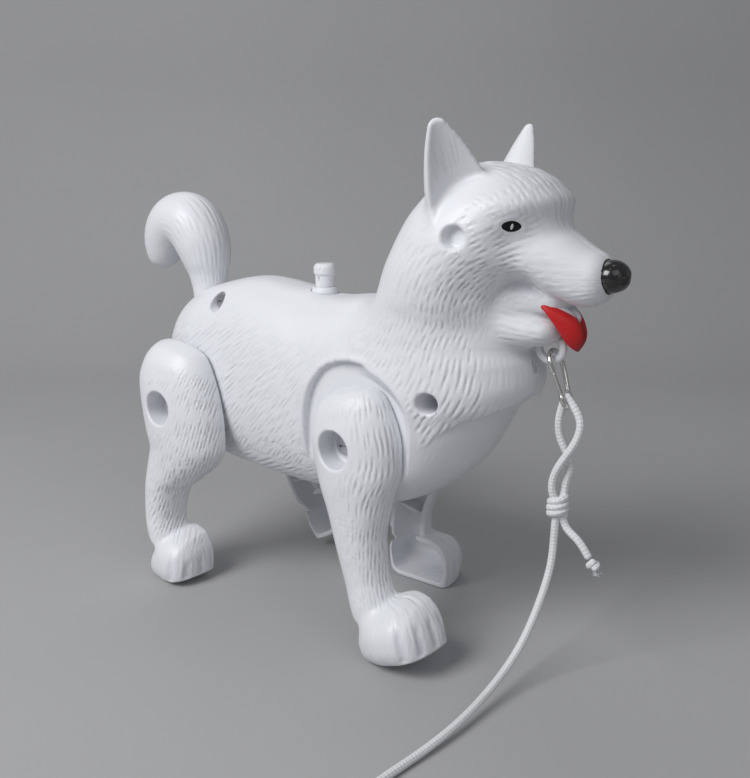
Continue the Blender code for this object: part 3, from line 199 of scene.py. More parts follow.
def rails(path):
    """Two directions square to a path and to each other, carried along it without twist."""
    ahead = unit(np.gradient(path, axis=0))
    first = np.cross(ahead[0], (0.3, 0.5, 0.81))
    side = np.zeros_like(path)
    side[0] = unit(first)
    for k in range(1, len(path)):
        side[k] = unit(side[k - 1] - ahead[k] * (side[k - 1] @ ahead[k]))
    return side, np.cross(ahead, side)


# %% [markdown]
# ## Tools for skins
#
# A grid of points becomes a skin of four-sided faces.  `skin` closes a grid round its second direction and
# caps both ends; the face numbers are made as whole arrays.  All pieces stay at the origin, with their place
# in their points, as the parts of the frame are.


# %% Skins
def new_piece(name, points, faces):
    """Mesh object from points in millimetres and an array of faces."""
    mesh = bpy.data.meshes.new(name)
    faces = faces.tolist() if isinstance(faces, np.ndarray) else faces
    mesh.from_pydata(place(points).tolist(), [], faces)
    mesh.polygons.foreach_set("use_smooth", np.full(len(mesh.polygons), True))
    mesh.update()
    return add(name, mesh)


def grid_faces(rows, around):
    """Faces of a grid that closes on itself round its second direction."""
    i, j = np.meshgrid(np.arange(rows - 1), np.arange(around), indexing="ij")
    k = (j + 1) % around
    quads = np.stack([i * around + j, i * around + k, (i + 1) * around + k, (i + 1) * around + j], -1)
    return quads.reshape(-1, 4)


def hoop_faces(rows, around):
    """Faces of a grid that closes on itself in both directions."""
    return grid_faces(rows + 1, around) % (rows * around)


def closed_faces(rows, around):
    """Faces of rings with a fan at each end, to the two points that follow the grid."""
    j = np.arange(around)
    k = (j + 1) % around
    first, last = rows * around, (rows - 1) * around
    start = np.stack([0 * j + first, k, j], -1)
    end = np.stack([0 * j + first + 1, last + j, last + k], -1)
    return grid_faces(rows, around).tolist() + start.tolist() + end.tolist()


def skin(name, grid):
    """Piece from rings of points; each end is closed by a fan to the middle of its ring."""
    grid = np.asarray(grid, float)
    points = np.concatenate([grid.reshape(-1, 3), grid[:1].mean(1), grid[-1:].mean(1)])
    return outward(new_piece(name, points, closed_faces(*grid.shape[:2])))


def outward(piece):
    """Turn all faces to look out of a closed piece."""
    bm = bmesh.new()
    bm.from_mesh(piece.data)
    bmesh.ops.recalc_face_normals(bm, faces=bm.faces)
    bm.to_mesh(piece.data)
    bm.free()
    return piece


def corners(piece):
    """Points of a piece in millimetres from the middle of the hips."""
    flat = np.empty(3 * len(piece.data.vertices))
    piece.data.vertices.foreach_get("co", flat)
    return flat.reshape(-1, 3) / MM - (SHIFT, 0, 0)


def put(piece, points):
    """Give a piece new points, in millimetres."""
    piece.data.vertices.foreach_set("co", place(points).ravel())
    piece.data.update()


def normals(piece):
    """The way the skin looks at each point."""
    flat = np.empty(3 * len(piece.data.vertices))
    piece.data.vertex_normals.foreach_get("vector", flat)
    return flat.reshape(-1, 3)


def settled(piece):
    """Apply a piece's modifiers for good."""
    bpy.context.view_layer.update()
    shape = piece.evaluated_get(bpy.context.evaluated_depsgraph_get())
    mesh = bpy.data.meshes.new_from_object(shape)
    piece.modifiers.clear()
    piece.data = mesh
    return piece


def carve(piece, tool, how="DIFFERENCE"):
    """Boolean of two closed pieces; the tool is used up."""
    mod = piece.modifiers.new("carve", "BOOLEAN")
    mod.operation = how
    mod.solver = "MANIFOLD"
    mod.object = tool
    settled(piece)
    bpy.data.objects.remove(tool, do_unlink=True)
    return piece


def turned(name, profile, base, axis, sides=48):
    """Profile of (radius, height) pairs turned about an axis, as on a lathe."""
    profile = np.asarray(profile, float)
    angle = circle(sides)
    axis = unit(np.asarray(axis, float))
    side = unit(np.cross(axis, (0.3, 0.9, 0.1)))
    other = np.cross(axis, side)
    spoke = np.cos(angle)[:, None] * side + np.sin(angle)[:, None] * other
    grid = np.asarray(base) + profile[:, 1, None, None] * axis + profile[:, 0, None, None] * spoke
    return skin(name, grid)


def bar(name, start, end, radius, sides=48):
    """Round bar from one point to another."""
    start = np.asarray(start, float)
    length = float(np.linalg.norm(np.asarray(end, float) - start))
    return turned(name, ((radius, 0), (radius, length)), start, np.asarray(end) - start, sides)


def block(name, low, high):
    """Square block between two opposite corners."""
    (a, b, c), (d, e, f) = low, high
    ring = np.array(((a, b), (d, b), (d, e), (a, e)), float)
    grid = np.stack([np.column_stack([ring, np.full(4, h)]) for h in (c, f)])
    return skin(name, grid)


# %% [markdown]
# ## Tools for moulded forms
#
# A toy body has no seams between neck, trunk and muzzle: they flow into each other.  So each is written as a
# *field*, a number that is below zero inside and above it outside, about the distance in millimetres.  Two
# fields blend with a soft minimum, which leaves a fillet of a chosen size.  A net of faces is then stretched
# over the places where the field is zero.


# %% Fields
def melt(a, b, k):
    """Soft minimum of two fields: their union with a fillet of about k."""
    h = np.maximum(k - np.abs(a - b), 0) / k
    return np.minimum(a, b) - h * h * k / 4


def bite(a, b, k):
    """Take field b out of field a, with an edge rounded by about k."""
    return -melt(-a, b, k)


def egg(a, b, e):
    """1 on the edge of a rounded section: an ellipse for e = 2, boxier for more."""
    return (np.abs(a) ** e + np.abs(b) ** e) ** (1 / e)


def lying(table, e, x, y, z, grow=0.0):
    """Field of rounded sections square to X, from a table of x, top, bottom and half width."""
    top, low, half = (steady(table[:, 0], table[:, k], x) for k in (1, 2, 3))
    high = (top - low) / 2 + grow
    wide = half + grow
    around = (egg(y / wide, (z - (top + low) / 2) / high, e) - 1) * np.minimum(wide, high)
    ends = np.maximum(table[0, 0] - grow - x, x - table[-1, 0] - grow)
    return -melt(-around, -ends, 5.0)


def standing(table, e, x, y, z, grow=0.0):
    """Field of rounded sections square to Z, from a table of height, back, front and half width."""
    back, front, half = (steady(table[:, 0], table[:, k], z) for k in (1, 2, 3))
    long = (front - back) / 2 + grow
    wide = half + grow
    around = (egg((x - (back + front) / 2) / long, y / wide, e) - 1) * np.minimum(wide, long)
    ends = np.maximum(table[0, 0] - grow - z, z - table[-1, 0] - grow)
    return -melt(-around, -ends, 4.0)


def pool(outline, x, z):
    """Distance to a closed outline of (x, z) pairs, below zero inside it."""
    outline = np.asarray(outline, float)
    ends = np.roll(outline, -1, axis=0)
    best = 1e9
    inside = False
    for (ax, az), (bx, bz) in zip(outline, ends):
        dx, dz = bx - ax, bz - az
        t = np.clip(((x - ax) * dx + (z - az) * dz) / (dx * dx + dz * dz), 0, 1)
        best = np.minimum(best, (x - ax - t * dx) ** 2 + (z - az - t * dz) ** 2)
        crosses = ((az > z) != (bz > z)) & (x < ax + (z - az) * dx / (dz if dz else 1e-9))
        inside = inside ^ crosses
    return np.where(inside, -1, 1) * np.sqrt(best)


def net(name, field, low, high, step):
    """Stretch a net over the zero of a field: one point in each cell it crosses, one face at each edge."""
    axes = [np.arange(a, b + step, step) for a, b in zip(low, high)]
    x, y, z = np.meshgrid(*axes, indexing="ij", sparse=True)
    value = np.broadcast_to(field(x, y, z), [len(a) for a in axes])
    inside = value < 0
    shape = np.array(value.shape) - 1
    count = np.zeros(shape, np.int8)
    steps = np.array([(i, j, k) for i in (0, 1) for j in (0, 1) for k in (0, 1)])
    for i, j, k in steps:
        count += inside[i:i + shape[0], j:j + shape[1], k:k + shape[2]]
    cell = np.argwhere((count > 0) & (count < 8))
    label = np.full(shape, -1)
    label[tuple(cell.T)] = np.arange(len(cell))
    corner = cell[:, None] + steps
    at = value[corner[..., 0], corner[..., 1], corner[..., 2]]
    total = np.zeros((len(cell), 3))
    hits = np.zeros(len(cell))
    for a in range(8):
        for b in range(a + 1, 8):
            if np.abs(steps[a] - steps[b]).sum() == 1:
                crossed = (at[:, a] < 0) != (at[:, b] < 0)
                gap = np.where(crossed, at[:, a] - at[:, b], 1)
                t = np.where(crossed, at[:, a] / gap, 0)
                total += np.where(crossed[:, None], steps[a] + t[:, None] * (steps[b] - steps[a]), 0)
                hits += crossed
    points = np.array(low) + step * (cell + total / hits[:, None])
    faces = []
    for d in range(3):
        e, f = (d + 1) % 3, (d + 2) % 3
        first = [slice(1, n) for n in shape]
        first[d] = slice(0, shape[d])
        second = list(first)
        second[d] = slice(1, shape[d] + 1)
        changed = inside[tuple(first)] != inside[tuple(second)]
        edge = np.argwhere(changed)
        edge += np.where(np.arange(3) == d, 0, 1)
        leaving = inside[tuple(edge.T)]
        one, two = np.eye(3, dtype=int)[e], np.eye(3, dtype=int)[f]
        ring = [label[tuple((edge - s).T)] for s in (one + two, two, 0 * one, one)]
        quad = np.stack(ring, -1)
        quad[~leaving] = quad[~leaving][:, ::-1]
        faces.append(quad)
    faces = np.concatenate(faces)
    return new_piece(name, points, faces[(faces >= 0).all(1)])


def seat(points, field, times=3, reach=0.4):
    """Move points straight onto the zero of a field, by its slope."""
    h = 0.05
    for _ in range(times):
        here = field(*points.T)
        slope = np.stack([
            field(*(points + d).T) - field(*(points - d).T) for d in h * np.eye(3)
        ], -1) / (2 * h)
        move = here[:, None] * slope / np.maximum((slope ** 2).sum(1), 0.05)[:, None]
        far = np.linalg.norm(move, axis=1)
        points = points - move * np.minimum(1, reach / np.maximum(far, 1e-9))[:, None]
    return points


def even(piece, points, times, strength=0.5):
    """Draw each point towards the middle of its neighbours."""
    pair = np.empty(2 * len(piece.data.edges), np.int32)
    piece.data.edges.foreach_get("vertices", pair)
    a, b = pair.reshape(-1, 2).T
    share = np.bincount(a, minlength=len(points)) + np.bincount(b, minlength=len(points))
    for _ in range(times):
        middle = np.stack([
            np.bincount(a, points[b, k], len(points)) + np.bincount(b, points[a, k], len(points))
            for k in range(3)
        ], -1) / share[:, None]
        points = points + strength * (middle - points)
    return points


def moulded(name, field, low, high, step):
    """Piece on the zero of a field: a net, halved once in size and drawn onto the field again."""
    piece = net(name, field, low, high, step)
    put(piece, seat(even(piece, corners(piece), 2), field))
    mod = piece.modifiers.new("finer", "SUBSURF")
    mod.levels = mod.render_levels = 1
    settled(piece)
    put(piece, seat(even(piece, corners(piece), 2), field, 2))
    return piece


# %% [markdown]
# ## Carved fur
#
# The mould was cut with thousands of short strokes, each about 6 mm long and under 1 mm wide.  They run down
# the mane, slant along the flank and turn round the cheek.  A stroke field is a grid of long cells laid along
# the flow, with one stroke at a chance place in each; the grid is bent by the flow's own coordinates.


# %% Strokes
def chance(i, j, seed):
    """Repeatable numbers from 0 to 1 for whole-number cells."""
    n = np.sin(i * 127.1 + j * 311.7 + seed * 74.7) * 43758.5453
    return n - np.floor(n)


def strokes(along, across, long, wide, seed):
    """Short tapered strokes, one in each long-by-wide cell: a groove with a faint rib beside it."""
    u = along / long
    v = across / wide
    depth = np.zeros(np.broadcast(u, v).shape)
    for du in (-1, 0, 1):
        for dv in (-1, 0, 1):
            i = np.floor(u) + du
            j = np.floor(v) + dv
            a = u - (i + 0.5 + 0.7 * (chance(i, j, seed) - 0.5))
            b = v - (j + 0.5 + 0.35 * (chance(i, j, seed + 1) - 0.5))
            lean = 0.25 * (chance(i, j, seed + 2) - 0.5)
            b = b - lean * a
            reach = 0.34 + 0.14 * chance(i, j, seed + 3)
            taper = 1 - np.clip(np.abs(a) / reach, 0, 1) ** 2.5
            depth += taper * (np.exp(-((b + 0.17) / 0.14) ** 2) - 0.35 * np.exp(-((b - 0.17) / 0.17) ** 2))
    return depth


# %% [markdown]
# ## The body form
#
# Trunk, neck with head, muzzle and jaw are tables of rounded sections, drawn from the tables of the solid
# parts and trimmed by a few millimetres.  The ears are leaf shapes with a dished front.  Where two forms
# meet, the soft minimum gives the fillet that a sculptor's thumb would leave.

# %% Body tables
# Trunk: x, back, belly, half width
TRUNK = np.array((
    (-67, 93, 76, 7), (-64.2, 99, 67, 12), (-59, 106.4, 57.5, 17), (-51.6, 111.6, 51, 21.6),
    (-40, 116, 47.4, 24.2), (-20, 119.6, 44.8, 24.7), (0, 117.6, 44, 26.2), (15, 115.6, 44.2, 27.2),
    (30, 117, 45.5, 27.8), (44, 116, 49, 28.4), (56, 111, 57, 28), (65, 104, 67, 23), (71, 96, 78, 14),
))
# Neck and head: height, back, front, half width
NECK = np.array((
    (48, 34, 54, 18), (56, 25, 66, 26), (65, 18, 75.5, 29.2), (75, 13, 82.5, 30.3), (83, 12, 87, 30.6),
    (88.5, 13, 92, 30.6), (95, 17.5, 94.5, 29.8), (101, 23, 93.5, 29), (107, 29, 90, 28.4),
    (114, 37, 86.5, 28.2), (122, 42, 86.5, 29.2), (130, 45, 89, 29.6), (138, 48.5, 94.5, 28.8),
    (145, 52, 99.4, 27), (150, 55.8, 100.6, 24.6), (155, 60.5, 97.8, 20.4), (159.5, 66, 91.5, 14.5),
    (162.2, 72, 83, 6.5),
))
# Upper muzzle and lower jaw: x, top, bottom, half width
MUZZLE = np.array((
    (74, 149.5, 127, 21.5), (86, 148.5, 127.6, 20.2), (95, 147, 126, 16.8), (103, 142.6, 122.4, 13.4),
    (110, 138.2, 120.4, 11), (115, 135.6, 121.6, 8.8), (118, 133, 124.4, 5.4),
))
JAW = np.array((
    (66, 122, 104, 17), (80, 121.6, 104.6, 16), (92, 119.6, 106, 12.4), (100, 116.6, 108, 9),
    (104, 115, 110, 5),
))
# Inside of the mouth, between lip and jaw
MOUTH = np.array((
    (74, 130, 110, 15), (88, 129, 112, 12), (96, 127, 115.5, 9), (102, 124.5, 117.5, 6.5),
    (105.5, 123.5, 118.5, 4),
))
# Edge of the hollow that a front leg swings in: x, height
WELL = batten((
    (66, 34), (67.5, 60), (66.5, 80), (63, 91), (56, 97), (46, 99.4), (36, 98.4), (28, 94.2), (23, 86.4),
    (21, 76), (21.5, 62), (23, 34),
), 44)
HIP_X, HIP_Z = 42.3, 72.0
NOSE = np.array((117.2, 0, 129.9))
NOSE_SIZE = np.array((5.4, 5.9, 4.9))
# Shell screws: x, height, and the y of the hole's floor; the head's hole is closed just below the skin
SCREWS = {
    "head_screw": (79.6, 141.0, -24.3),
    "chest_screw": (71.4, 90.0, -14.0),
    "rump_screw": (-31.0, 110.5, -12.0),
}
SCREW_HOLE = 3.4
BUTTON_X = 8.3


def trunk_field(x, y, z, grow=0.0):
    """Field of the trunk."""
    return lying(TRUNK, 2.35, x, y, z, grow)


def neck_field(x, y, z, grow=0.0):
    """Field of neck and head."""
    return standing(NECK, 2.2, x, y, z, grow)


def neck_share(x, y, z):
    """1 on neck and head, 0 on the trunk."""
    return ramp(2.0, -2.0, neck_field(x, y, z) - trunk_field(x, y, z))


def on_ear(side, x, y, z):
    """Place on an ear: share of the way up, millimetres across it and millimetres in front of its middle."""
    base = np.array((77.0, 16.3 * side, 146.0))
    tip = np.array((74.3, 29.6 * side, 174.3))
    axis = tip - base
    length = np.linalg.norm(axis)
    axis = axis / length
    facing = math.radians(38)
    across = np.array((-math.sin(facing) * side, math.cos(facing), 0))
    across = unit(across - axis * (across @ axis))
    front = np.cross(across, axis)
    p = [x - base[0], y - base[1], z - base[2]]
    t, a, n = (sum(q * c for q, c in zip(p, way)) for way in (axis / length, across, front))
    return t, a, n, length


def ear_width(t):
    """Half width of an ear at a share of the way up."""
    return steady((0, 0.3, 0.7, 1), (11.0, 9.6, 6.0, 1.8), t)


def ear(side, x, y, z):
    """Field of an ear: a leaf with a rounded back and a dished front, facing forward and outward."""
    t, a, n, length = on_ear(side, x, y, z)
    wide = ear_width(t)
    thick = steady((0, 0.3, 0.7, 1), (12.2, 9.6, 5.6, 2.0), t)
    back = (egg(a / wide, n / thick, 2) - 1) * np.minimum(wide, thick)
    dish = n + 0.36 * thick * np.clip(1 - (a / wide) ** 2, 0, 1) - 0.26 * thick
    leaf = -melt(-back, -dish, 1.9)
    ends = np.maximum((t - 1) * length, -t * length - 6)
    return -melt(-leaf, -ends, 2.4)


def well_room(x, y, z):
    """The hollow for a front leg: a flat floor that ramps out to the chest ahead of the leg's reach."""
    ahead_of_leg = np.hypot(x - HIP_X, np.maximum(z - HIP_Z, 0)) - 20.2 - 2.6 * ramp(72, 88, z)
    floor_y = 25 + 1.1 * np.maximum(ahead_of_leg, 0) * ramp(42, 52, x)
    return np.maximum(pool(WELL, x, z), floor_y - np.abs(y))


def body_field(x, y, z):
    """The outside of the dog without legs, tail and nose."""
    f = melt(trunk_field(x, y, z), neck_field(x, y, z), 7.0)
    for table, boxy, fillet in ((MUZZLE, 2.3, 6.5), (JAW, 2.2, 4.0), (MOUTH, 2.4, 1.5)):
        f = melt(f, lying(table, boxy, x, y, z), fillet)
    f = melt(f, np.minimum(ear(-1, x, y, z), ear(1, x, y, z)), 2.5)
    f = bite(f, well_room(x, y, z), 0.7)
    for hx, hz, deep in SCREWS.values():
        f = bite(f, np.maximum(np.hypot(x - hx, z - hz) - SCREW_HOLE, y - deep), 0.8)
    return f


body = moulded("body", body_field, (-72, -35, 40), (122, 35, 178), STEP)
print("body skin:", len(body.data.vertices), "points")

# %% [markdown]
# ## Sculpting and fur on the body
#
# Small changes of shape are pushes along the surface: the eye sockets under the brow, and the ruff, a step
# low on the chest where the mane ends.  Then the strokes are cut.  Each region has its own flow: down the
# mane, in arcs about a point under the jaw for the cheek, slanting on the flank and flatter on the belly.
# Depth and flow are also kept on the points, where the material finds them.


# %% Body relief
# Swells and hollows: centre, size, height
SWELLS = (
    ((97, 19, 141.5), (8, 7, 4.5), -1.7),  # eye socket
    ((95, 20, 150.0), (8, 9, 3.5), 1.0),  # brow
    ((99.5, 5, 151.0), (5, 9, 3.5), 0.5),  # forehead
    ((80, 29, 126.0), (14, 9, 10), 1.4),  # cheek
    ((86, 18, 123), (6, 6, 7), 2.2),  # jowl
    ((94, 16, 127), (4, 6, 3), -1.8),  # corner of the mouth
)
EYE = np.array((95.0, 19.4, 144.2))
EYE_LONG = unit(np.array((0.62, -0.78, -0.06)))
EYE_OUT = unit(np.cross(EYE_LONG, (0, 0, -1.0)))
EYE_UP = np.cross(EYE_LONG, EYE_OUT)


def both_sides(points):
    """Points moved over to the dog's left, so that one shape serves both sides."""
    return np.abs(points * (0, 1, 0)) + points * (1, 0, 1)


def push(points, centre, size, amount):
    """Soft round push of a given amount about a centre, the same on both sides."""
    return amount * np.exp(-(((both_sides(points) - centre) / size) ** 2).sum(1))


def eye_ring(points):
    """1 on the lids' edge, less inside the eye and more outside it."""
    p = both_sides(points) - EYE
    long = p @ EYE_LONG
    tall = p[:, 2] + 0.06 * long
    return np.sqrt((long / 3.65) ** 2 + (tall / 1.95) ** 2)


def ruff_line(points):
    """Height of the ragged lower edge of the mane, and how strong its step is: most at the front."""
    around = np.degrees(np.arctan2(np.abs(points[:, 1]), points[:, 0] - 52))
    ragged = 0.8 * np.sin(0.42 * around) + 0.6 * np.sin(0.9 * around + 1)
    height = 91 - 0.22 * around - 0.05 * np.maximum(around - 38, 0) ** 1.5 + 0.3 * ragged
    return height, ramp(64, 26, around) * ramp(60, 70, points[:, 0])


def body_shape(points):
    """Outward push in millimetres of the swells, the ruff's step, the wells' lip and the eyelids."""
    x, y, z = points.T
    out = sum(push(points, *swell) for swell in SWELLS)
    ruff, front = ruff_line(points)
    out -= 1.2 * ramp(ruff + 1.4, ruff - 1.4, z) * ramp(ruff - 30, ruff - 6, z) * front
    out += 0.4 * ramp(ruff - 1.4, ruff + 1.4, z) * ramp(ruff + 16, ruff + 3, z) * front
    lip = np.exp(-((pool(WELL, x, z) - 1.2) / 0.9) ** 2) * ramp(24.6, 25.6, np.abs(y)) * ramp(44, 52, z)
    out += 0.5 * lip * ramp(54, 42, x)
    lids = np.exp(-((eye_ring(points) - 1.2) / 0.16) ** 2) * ramp(10, 14, np.abs(y))
    out += 0.15 * lids
    return out


def body_flow(points):
    """Seven regions of fur: how much of each a point has, and its places along and across the strokes."""
    x, y, z = points.T
    side = np.abs(y)
    sway = 1.6 * np.sin(0.11 * x + 0.07 * z) + 1.1 * np.sin(0.19 * z - 0.05 * x + 1.3)
    neck = neck_share(x, y, z)
    snout = ramp(95, 102, x) * ramp(118, 122, z)
    head = ramp(108, 118, z + 0.2 * (x - 80)) * ramp(46, 58, x)
    crown = ramp(146, 151, z + 0.25 * (x - 92))
    low = ramp(58, 55.5, z)
    middle = steady(NECK[:, 0], (NECK[:, 1] + NECK[:, 2]) / 2, z)
    turn = np.arctan2(side, x - middle)
    jaw = ramp(82, 88, x) * ramp(123, 119, z) * ramp(102, 106, z)
    cheek_turn = np.arctan2(z - 117, 91.5 - x)
    cheek_far = np.hypot(x - 91.5, z - 117) + 0.6 * side
    brow_turn = np.arctan2(z - 139, x - 80)
    brow_far = np.hypot(np.hypot(x - 80, z - 139), 0.8 * (28 - side))
    slant = math.radians(33)
    along = x * math.cos(slant) + z * math.sin(slant) + sway
    across = z * math.cos(slant) - x * math.sin(slant) - 0.004 * np.maximum(x + 30, 0) ** 2 + 0.3 * sway
    girth = 27 * np.arctan2(side, 82 - z)
    return {
        "mane": (neck * (1 - head) * (1 - snout) * (1 - jaw), z + sway, 29 * turn + 0.5 * sway + 0.12 * z),
        "cheek": (neck * head * (1 - crown) * (1 - snout) * (1 - jaw), 24 * cheek_turn + sway, cheek_far),
        "crown": (neck * head * crown * (1 - snout), 22 * brow_turn + sway, brow_far),
        "jaw": (neck * jaw * (1 - snout), x + 0.3 * sway, z + 0.2 * x),
        "muzzle": (snout, x + 0.3 * sway, 12 * np.arctan2(side, z - 128) + 0.1 * x),
        "flank": ((1 - neck) * (1 - low) * (1 - snout), along, across),
        "belly": ((1 - neck) * low * (1 - snout), 0.91 * x + 0.41 * girth + sway, 0.91 * girth - 0.41 * x),
    }


# Depth, length and spacing of the strokes in each region
CUTS = {
    "mane": (0.42, 6.2, 2.0), "cheek": (0.36, 5.8, 1.9), "crown": (0.28, 5.0, 1.8), "jaw": (0.24, 5.0, 1.9),
    "muzzle": (0.16, 5.0, 2.0), "flank": (0.38, 9.4, 1.65), "belly": (0.34, 9.0, 1.65),
}


def smooth_places(points, facing):
    """0 where the mould is smooth: back, nape, bib, wells, ears, screw holes and eyes; 1 elsewhere."""
    x, y, z = points.T
    side = np.abs(y)
    neck = neck_share(x, y, z)
    back = (1 - ramp(0.3, 0.7, facing[:, 2])) * ramp(-66, -52, x)
    nape = 1 - 0.75 * ramp(0.25, 0.75, -facing[:, 0])
    ruff, _ = ruff_line(points)
    bib = 1 - 0.75 * ramp(ruff + 1, ruff - 3, z) * ramp(60, 66, x)
    front = 1 - 0.85 * ramp(0.55, 0.8, facing[:, 0]) * ramp(122, 114, z)
    keep = back + (nape * bib * front - back) * neck
    keep = keep * (1 - ramp(98, 104, x) * ramp(0.3, 0.75, facing[:, 2]))
    keep = keep * ramp(0.2, 2.4, np.where(side < 33, pool(WELL, x, z), 9))
    t, a, n, _ = on_ear(1, x, side, z)
    keep = keep * (1 - 0.9 * ramp(-0.15, 0.05, t) * ramp(14, 12, np.abs(a)) * ramp(9.5, 7.5, np.abs(n)))
    for hx, hz, _ in SCREWS.values():
        keep = keep * np.where(y < 0, ramp(SCREW_HOLE, SCREW_HOLE + 1.2, np.hypot(x - hx, z - hz)), 1)
    return keep * ramp(1.2, 1.7, np.where(side > 8, eye_ring(points), 9))


def body_fur(points, facing):
    """Depth in millimetres of the strokes at each point of the body, with the long streaks of the ears."""
    x, y, z = points.T
    depth = 0
    for seed, (region, (share, along, across)) in enumerate(body_flow(points).items()):
        deep, long, wide = CUTS[region]
        depth = depth + deep * share * strokes(along, across, long, wide, 4 * seed + 1)
    t, a, n, length = on_ear(1, x, np.abs(y), z)
    dish = ramp(0.42, 0.5, t) * ramp(0.95, 0.85, t) * ramp(9, 7, np.abs(n))
    dish = dish * ramp(0.8, 0.5, np.abs(a) / ear_width(t))
    streak = strokes(length * t, a * (1.6 - 0.6 * t), 12.0, 1.7, 25)
    return depth * smooth_places(points, facing) + 0.2 * streak * dish * ramp(0.2, 0.6, facing[:, 0])


def dress(piece, shape, fur):
    """Push the shapes out along the skin, then cut the strokes into it."""
    points = corners(piece)
    facing = normals(piece)
    if shape:
        points = points + facing * shape(points)[:, None]
        put(piece, points)
        facing = normals(piece)
    put(piece, points - facing * fur(points, facing)[:, None])


DEEPEST = 0.45  # depth of a stroke that takes the full shade
APART = 300  # keeps the charts of two regions from meeting


def mark(piece, fur, flow, keep):
    """Store on each point the depth of the strokes, and the place along and across them with its strength."""
    points, facing = corners(piece), normals(piece)
    note = piece.data.attributes.new("carved", "FLOAT", "POINT")
    note.data.foreach_set("value", np.clip(fur(points, facing) / DEEPEST, 0, 1))
    charts = list(flow(points).values())
    share = np.stack([c[0] + 0 * points[:, 0] for c in charts], -1)
    best = share.argmax(1)
    row = np.arange(len(points))
    along = np.stack([c[1] for c in charts], -1)[row, best]
    across = np.stack([c[2] for c in charts], -1)[row, best] + APART * best
    strength = ramp(0.55, 0.9, share[row, best]) * keep(points, facing)
    note = piece.data.attributes.new("flow", "FLOAT_VECTOR", "POINT")
    note.data.foreach_set("vector", np.stack([along, across, strength], -1).ravel())


dress(body, body_shape, body_fur)
print("regions of fur:", ", ".join(CUTS))

# %% [markdown]
# ## Two shells
#
# The body is moulded as two hollow halves that meet on the spine line.  The inside is a second field, a wall
# of 2 mm smaller, that leaves the bosses for hips, screws and posts standing.  The holes are cut with plain
# tools, and the halves are parted by two blocks 0.3 mm apart.


# %% Shells
WALL = 2.0
HALF_GAP = 0.15
TAIL_ROOT = np.array((-52.2, 0, 111.4))
TAIL_AXIS = np.array((-0.12, 0, 0.9928))


def inside_field(x, y, z):
    """The hollow of the shells."""
    f = np.minimum(trunk_field(x, y, z, -WALL), neck_field(x, y, z, -WALL))
    f = f + 3 * ramp(112, 128, z) + 3 * ramp(60, 68, x)
    side = np.abs(y)
    f = np.maximum(f, -np.maximum(pool(WELL, x, z) - WALL, 23 - side))
    for hip in (-HIP_X, HIP_X):
        f = np.maximum(f, -np.maximum(np.hypot(x - hip, z - HIP_Z) - 11, 21.5 - side))
    for hx, hz, _ in SCREWS.values():
        f = np.maximum(f, SCREW_HOLE + WALL - np.hypot(x - hx, z - hz))
    return np.maximum(f, 11.4 - np.hypot(x + 52, y) + 40 * ramp(103, 100, z))


carve(body, net("hollow", inside_field, (-72, -35, 40), (110, 35, 168), 2.0))
for side in (-1, 1):
    carve(body, bar("face", (-HIP_X, 22.2 * side, HIP_Z), (-HIP_X, 25 * side, HIP_Z), 10.4), "UNION")
    for hip in (-HIP_X, HIP_X):
        carve(body, bar("room", (hip, 12 * side, HIP_Z), (hip, 21.5 * side, HIP_Z), 7.0))
        carve(body, bar("bearing", (hip, 15 * side, HIP_Z), (hip, 40 * side, HIP_Z), 4.8))
for name, low, high, radius in (("face", 0, 12, 7.9), ("socket", -8.2, 1, 7.6), ("bore", -16, 12, 5.8)):
    carve(body, bar(f"tail_{name}", TAIL_ROOT + low * TAIL_AXIS, TAIL_ROOT + high * TAIL_AXIS, radius))
for hx, hz, deep in SCREWS.values():
    carve(body, bar("clear", (hx, max(deep, -15.0) - 1, hz), (hx, 9, hz), 1.6, 24))
carve(body, bar("button_hole", (BUTTON_X, 0, 104), (BUTTON_X, 0, 130), 5.2))
carve(body, block("ring_slot", (93.2, -1.6, 98), (104.8, 1.6, 112.6)))
carve(body, block("stem_slot", (96.4, -1.6, 98), (101.6, 1.6, 114)))
carve(body, block("door_hole", (-32, -12.5, 36), (22, 12.5, 52)))


def nose_shape(name, grow, rows=40, around=64):
    """Rounded nose: wide at the top, narrower below."""
    t = np.linspace(0.02, np.pi - 0.02, rows)[:, None]
    a = circle(around)
    ball = np.stack([np.cos(t) + 0 * a, np.sin(t) * np.cos(a), np.sin(t) * np.sin(a)], -1)
    return skin(name, NOSE + ball * (NOSE_SIZE + grow))


carve(body, nose_shape("nose_seat", 0.3))
for name, low, high in (("right", -60, -HALF_GAP), ("left", HALF_GAP, 60)):
    half = add(f"{name}_shell_skin", body.data.copy())
    carve(half, block("half", (-140, low, 0), (160, high, 200)), "INTERSECT")
    mark(half, body_fur, body_flow, smooth_places)
    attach(half, "body")
    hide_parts(f"{name}_shell")
    print(half.name, len(half.data.polygons), "faces")
bpy.data.objects.remove(body, do_unlink=True)

# %% [markdown]
# ## Legs
#
# Each leg is one hollow moulding, open on the inside, with a deep round hole for its pivot screw.  A limb of
# D-shaped sections runs into a paw.  The sole is two flats, one for each end of the stride.  Lengths are
# measured from the hip of an upright right leg.

